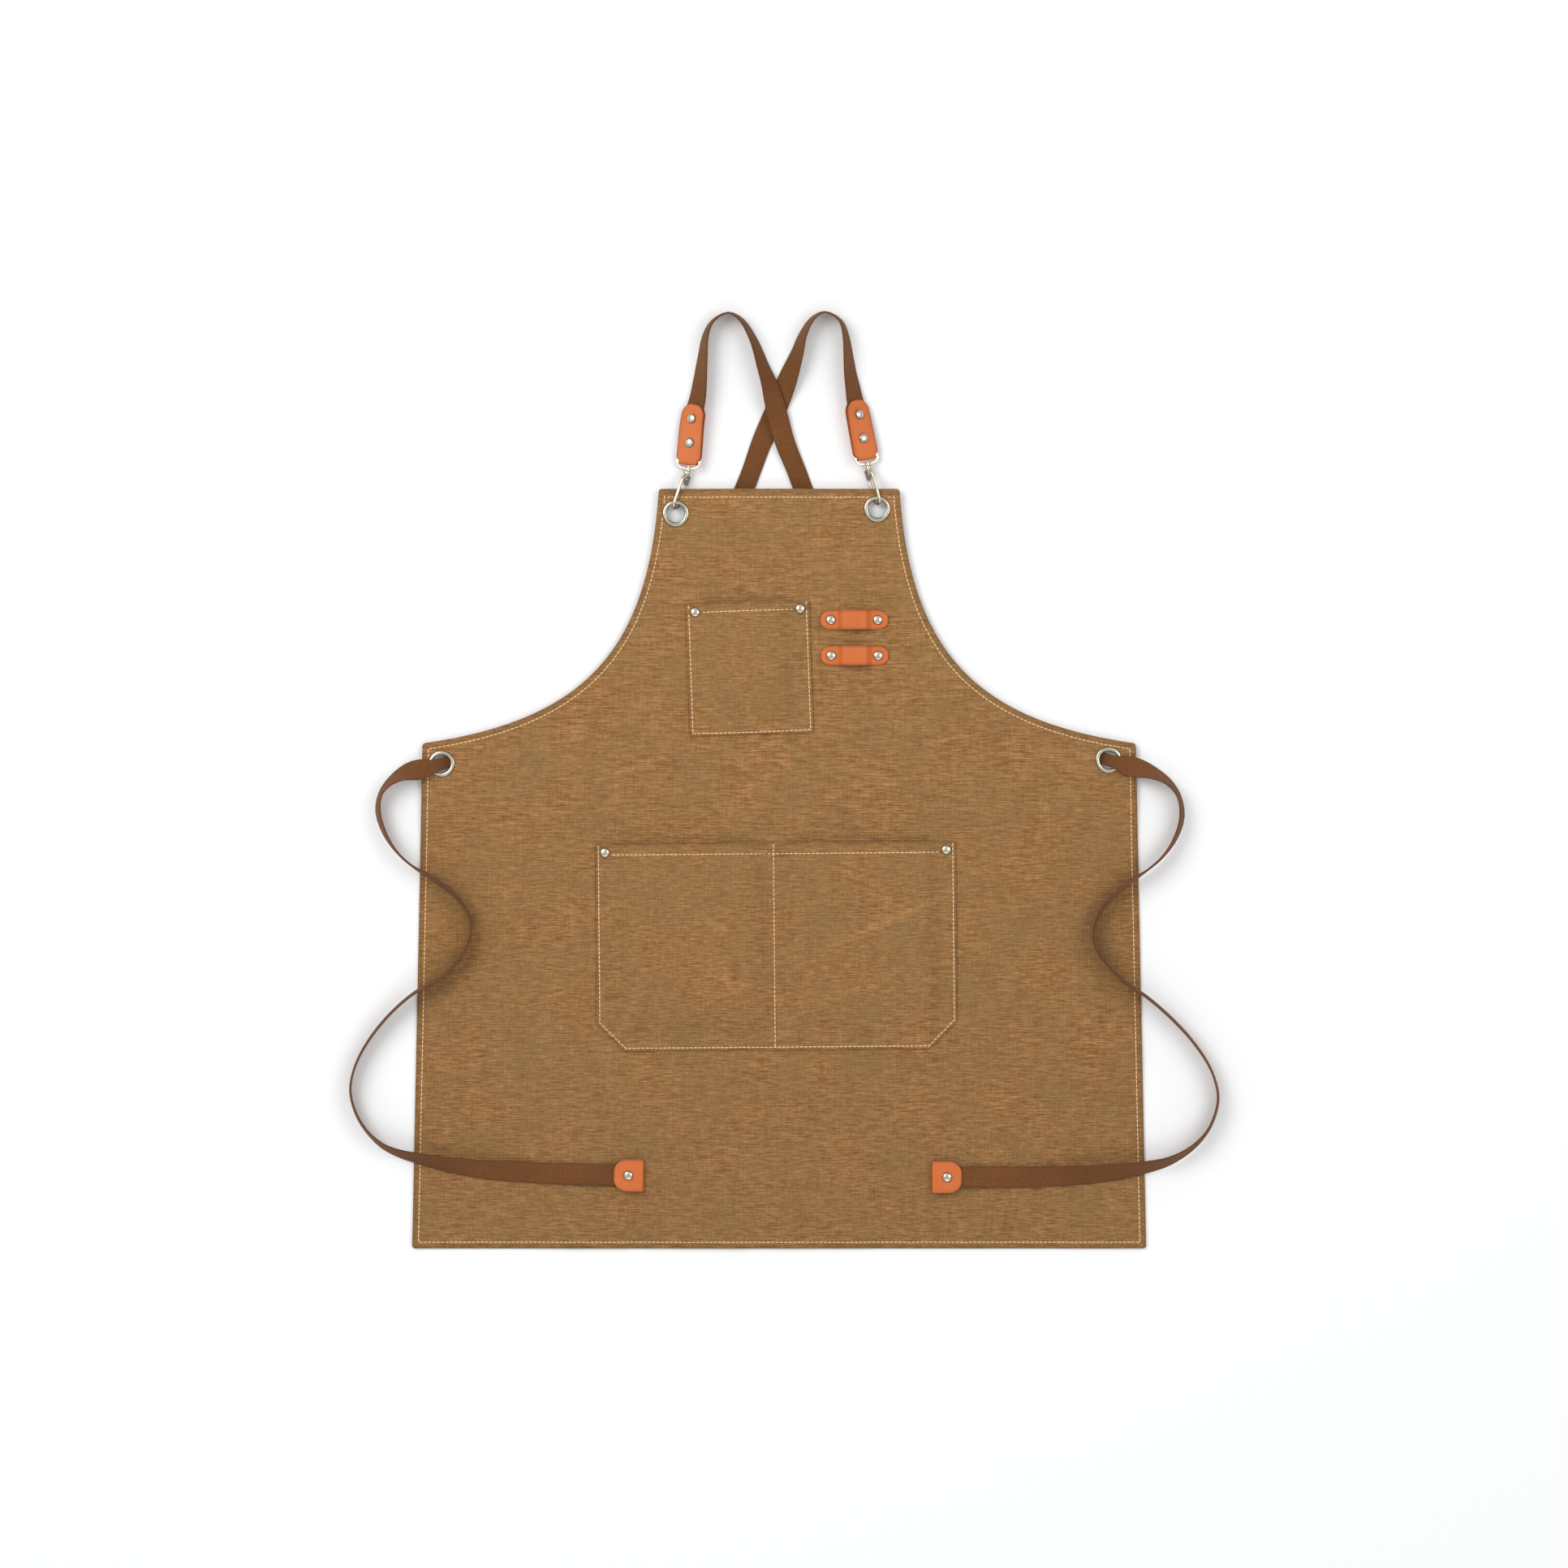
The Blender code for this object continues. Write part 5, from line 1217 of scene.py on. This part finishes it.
def buildEyelet(key, nodes):
    x, y = eyelet["places"][key]
    tube = eyelet["hole"] + eyelet["tube"]
    under = panel["thick"] + gap + eyelet["washer"] + gap
    outer, high = eyelet["outer"], eyelet["high"]
    crown = []
    for a in range(0, 181, 15):
        turn = math.radians(a)
        middle, half = (outer + eyelet["hole"]) / 2, (outer - eyelet["hole"]) / 2
        crown.append((middle + half * math.cos(turn), gap + high * (0.12 + 0.88 * math.sin(turn))))
    profile = [(tube, gap), (outer - 0.0002, gap)] + crown
    profile += [(eyelet["hole"], -under - eyelet["lip"] * 0.5),
                (eyelet["hole"] + 0.0002, -under - eyelet["lip"]),
                (tube + eyelet["lipOut"] - 0.0001, -under - eyelet["lip"]),
                (tube + eyelet["lipOut"], -under), (tube, -under)]
    slope = (frontHeight(y + 0.001) - frontHeight(y - 0.001)) / 0.002
    place = Matrix.Translation((x, y, frontHeight(y))) @ Matrix.Rotation(slope, 4, "X")
    word = key[0].upper() + key[1:]
    # painted shade and dark reflection darken the flange's outer rim and the hole's rim
    rims = [(outer, 0.0007), (eyelet["hole"], 0.0009)]
    addPiece("grommet" + word, spinProfile(profile, 64, place, rims), nickelPlate, "root",
             ["grommet_" + nodes])
    top = -panel["thick"] - gap
    low = top - eyelet["washer"]
    profile = [(tube + gap, top), (outer, top), (outer, low + 0.0002), (outer - 0.0002, low),
               (tube + gap, low)]
    addPiece("washer" + word, spinProfile(profile, 64, place), nickelPlate, "root",
             ["washer_" + nodes])


for key, nodes in (("topLeft", "top_left"), ("topRight", "top_right"),
                   ("sideLeft", "side_left"), ("sideRight", "side_right")):
    buildEyelet(key, nodes)
print("eyelets made")


# snap hooks: u runs from the swivel to the tip, w is up

hook = {"reach": 0.0380, "roll": 25.0, "loop": 0.0054, "wire": 0.0016, "stem": 0.0013,
        "nose": 0.0152, "pivot": (0.0062, -0.0030), "pin": 0.0007, "running": 0.00015,
        "ear": (-0.0022, -0.0004),
        "hang": 0.0052, "aside": 0.0020, "pinRoom": 0.00012, "earRadius": 0.0019}


def hookFrame(side):
    tabFrame = ribbons[side].place(0, 0)
    swivel = tabFrame @ Vector((0, -bail["drop"], 0))
    sign = -1 if side == "Left" else 1
    hole = Vector(eyelet["places"]["top" + side])
    aim = hole + hook["hang"] * (swivel.xy - hole).normalized()
    aim += Vector((sign * hook["aside"], 0))
    along = Vector((*(aim - swivel.xy), 0)).normalized()
    outward = upward.cross(along) * sign
    roll = math.radians(hook["roll"])
    up = upward * math.cos(roll) + outward * math.sin(roll)
    place = Matrix((along, up.cross(along), up)).transposed().to_4x4()
    place.translation = swivel
    return tabFrame, place


def roundBar(path, sides=16):
    # tube through (point, direction, side direction, radius) rings, closed at both ends
    bm = bmesh.new()
    rings = []
    for point, along, across, radius in path:
        up = along.cross(across)
        place = Matrix((across, up, along)).transposed().to_4x4()
        place.translation = point
        made = bmesh.ops.create_circle(bm, cap_ends=False, segments=sides, radius=radius,
                                       matrix=place)
        rings.append(made["verts"])
    for a, b in zip(rings, rings[1:]):
        loops = {e for v in a + b for e in v.link_edges
                 if all(w in a for w in e.verts) or all(w in b for w in e.verts)}
        bmesh.ops.bridge_loops(bm, edges=list(loops))
    for ring in (rings[0], rings[-1]):
        bmesh.ops.contextual_create(bm, geom=list({e for v in ring for e in v.link_edges
                                                   if all(w in ring for w in e.verts)}))
    return bm


def hookStations():
    # (u, w, radius) down the swivel stem, the collar, the arm and round the loop
    rows = [(-0.0044, 0, 0.0012), (-0.0043, 0, 0.0019), (-0.0041, 0, 0.0022),
            (-0.0037, 0, 0.0022), (-0.0035, 0, 0.0020), (-0.0034, 0, hook["stem"]),
            (0.0006, 0, hook["stem"]), (0.0007, 0, 0.0027), (0.0009, 0, 0.0031),
            (0.0012, 0, 0.0033), (0.0022, 0, 0.00335), (0.0032, 0, 0.0033),
            (0.0036, 0, 0.0030), (0.0041, 0.0002, 0.0026), (0.0048, 0.0007, 0.0024)]
    rows += [(0.0056, 0.0014, 0.0022), (0.0065, 0.0024, 0.0020), (0.0074, 0.0036, 0.0019),
             (0.0084, 0.0045, 0.0017), (0.0094, hook["loop"] - 0.0004, hook["wire"]),
             (0.0106, hook["loop"] - 0.0001, hook["wire"]), (0.0122, hook["loop"], hook["wire"])]
    middle = hook["reach"] - hook["loop"]
    rows += [(0.0122 + (middle - 0.0122) * k / 4, hook["loop"], hook["wire"]) for k in (1, 2, 3)]
    for step in range(19):
        turn = math.radians(90 - 10 * step)
        rows.append((middle + hook["loop"] * math.cos(turn), hook["loop"] * math.sin(turn),
                     hook["wire"]))
    rows += [(middle + (hook["nose"] - middle) * k / 4, -hook["loop"], hook["wire"] * 0.97)
             for k in (1, 2, 3)]
    rows += [(hook["nose"] + 0.0003, -hook["loop"], hook["wire"] * 0.95),
             (hook["nose"], -hook["loop"], hook["wire"] * 0.8)]
    return rows


def extrudePlate(points, low, high, bevelWidth):
    # flat plate with the outline's shape and softened rims
    bm = bmesh.new()
    bm.faces.new([bm.verts.new((x, y, low)) for x, y in points])
    for v in thickenFaces(bm):
        v.co.z = high
    bmesh.ops.recalc_face_normals(bm, faces=bm.faces)
    bmesh.ops.bevel(bm, geom=bm.edges[:], offset=bevelWidth, offset_type="OFFSET", segments=2,
                    profile=0.5, affect="EDGES", material=-1)
    return bm


def buildBail(side, tabFrame, place):
    half, bar = bail["half"], bail["barHalf"]
    outer = [(-half, bar), (half, bar), (half, -0.0034), (0.0105, -0.0058), (0.0080, -0.0072),
             (0.0034, -0.0080), (-0.0034, -0.0080), (-0.0080, -0.0072), (-0.0105, -0.0058),
             (-half, -0.0034)]
    inner = [(-0.0099, -bar), (0.0099, -bar), (0.0099, -0.0028), (0.0086, -0.0044),
             (0.0064, -0.0056), (0.0034, -0.0062), (-0.0034, -0.0062), (-0.0064, -0.0056),
             (-0.0086, -0.0044), (-0.0099, -0.0028)]
    bm = bmesh.new()
    loops = []
    for points in (outer, inner):
        verts = [bm.verts.new((x, y, -bail["thick"] / 2)) for x, y in points]
        loops += [bm.edges.new(pair) for pair in zip(verts, verts[1:] + verts[:1])]
    bmesh.ops.bridge_loops(bm, edges=loops)
    for v in thickenFaces(bm):
        v.co.z = bail["thick"] / 2
    bmesh.ops.recalc_face_normals(bm, faces=bm.faces)
    rims = [e for e in bm.edges if abs(e.calc_face_angle(0)) > 0.6]
    bmesh.ops.bevel(bm, geom=rims, offset=0.00045, offset_type="OFFSET", segments=3,
                    profile=0.5, affect="EDGES", material=-1)
    bmesh.ops.transform(bm, matrix=tabFrame, verts=bm.verts)
    # the swivel's barrel, with a clear bore for the stem
    lying = place @ Matrix.Rotation(math.radians(90), 4, "Y")
    bore = hook["stem"] + hook["running"]
    barrel = spinProfile([(0.0010, -0.0022), (0.0028, -0.0022), (0.0031, -0.0019),
                          (0.0031, 0.0001), (0.0028, 0.0004), (0.0010, 0.0004)], 32, lying)
    bm = withCutter(bm, barrel, "UNION")
    stem = bmesh.new()
    bmesh.ops.create_cone(stem, cap_ends=True, segments=32, radius1=bore, radius2=bore,
                          depth=0.02, matrix=lying)
    bm = withCutter(bm, stem)
    addPiece("bail" + side, bm, nickelPlate, "root", ["bail_" + side.lower()], 30)


def buildHook(side, place):
    body = "hook_%s_body" % side.lower()
    rows = hookStations()
    path = []
    for i, (u, w, radius) in enumerate(rows):
        u0, w0, _ = rows[max(i - 1, 0)]
        u1, w1, _ = rows[min(i + 1, len(rows) - 1)]
        along = Vector((u1 - u0, 0, w1 - w0)).normalized()
        path.append((Vector((u, 0, w)), along, Vector((0, 1, 0)), radius))
    bm = roundBar(path)
    pivotU, pivotW = hook["pivot"]
    ear = [(0.0030, 0.0006), (0.0072, 0.0026), (pivotU + 0.0018, pivotW + 0.0006)]
    for turn in (0, -30, -60, -90, -120, -150):
        a = math.radians(turn)
        ear.append((pivotU + hook["earRadius"] * math.cos(a),
                    pivotW + hook["earRadius"] * math.sin(a)))
    ear.append((0.0028, -0.0022))
    plate = extrudePlate(ear, hook["ear"][0], hook["ear"][1], 0.0002)
    upright = Matrix(((1, 0, 0, 0), (0, 0, 1, 0), (0, 1, 0, 0), (0, 0, 0, 1)))
    bmesh.ops.transform(plate, matrix=upright, verts=plate.verts)
    bm = withCutter(bm, plate, "UNION")
    pinPlace = Matrix.Translation((pivotU, 0, pivotW)) @ Matrix.Rotation(math.radians(-90), 4, "X")
    pin = bmesh.new()
    bore = hook["pin"] + hook["pinRoom"]
    bmesh.ops.create_cone(pin, cap_ends=True, segments=16, radius1=bore, radius2=bore,
                          depth=0.012, matrix=pinPlace)
    bm = withCutter(bm, pin)
    bmesh.ops.transform(bm, matrix=place, verts=bm.verts)
    addPiece("hook" + side, bm, nickelPlate, body, ["hook_" + side.lower()], 40)


for side in ("Left", "Right"):
    tabFrame, place = hookFrame(side)
    buildBail(side, tabFrame, place)
    buildHook(side, place)
for name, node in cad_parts.items():
    if name.startswith("gate"):
        node.data.materials.clear()
        node.data.materials.append(darkPlate)
print("snap hooks made")


# the pale table, the room and the lights

studio = {"floor": "#F6F6F5", "room": "#E9EBEE", "roomStrength": 0.76, "floorSize": 12.0}


def buildTable():
    bm = bmesh.new()
    bmesh.ops.create_grid(bm, x_segments=1, y_segments=1, size=studio["floorSize"] / 2)
    mesh = bpy.data.meshes.new("table")
    bm.to_mesh(mesh)
    bm.free()
    table = bpy.data.objects.new("table", mesh)
    table.location = (*camera["middle"], -0.0002)
    bpy.context.scene.collection.objects.link(table)
    # matt white laminate
    material, _, _ = newMaterial("whiteLaminate", {"Base Color": toLinear(studio["floor"]),
                                                   "Roughness": 0.8, "Specular IOR Level": 0.1})
    mesh.materials.append(material)


def addLamp(name, place, aim, size, power):
    lamp = bpy.data.lights.new(name, "AREA")
    lamp.shape = "RECTANGLE"
    lamp.size, lamp.size_y = size
    lamp.energy = power
    holder = bpy.data.objects.new(name, lamp)
    holder.location = place
    holder.rotation_euler = (Vector(aim) - Vector(place)).to_track_quat("-Z", "Y").to_euler()
    bpy.context.scene.collection.objects.link(holder)


buildTable()
middle = (*camera["middle"], 0)
addLamp("softboxLeft", (-1.6, 1.5, 2.4), middle, (1.6, 1.6), 40)
addLamp("softboxRight", (1.9, 0.9, 2.6), middle, (1.4, 1.8), 22)
addLamp("softboxNear", (0.2, -1.6, 2.2), middle, (2.0, 0.9), 8)

world = bpy.data.worlds.new("room")
world.use_nodes = True
world.node_tree.nodes["Background"].inputs["Color"].default_value = toLinear(studio["room"])
world.node_tree.nodes["Background"].inputs["Strength"].default_value = studio["roomStrength"]
bpy.context.scene.world = world
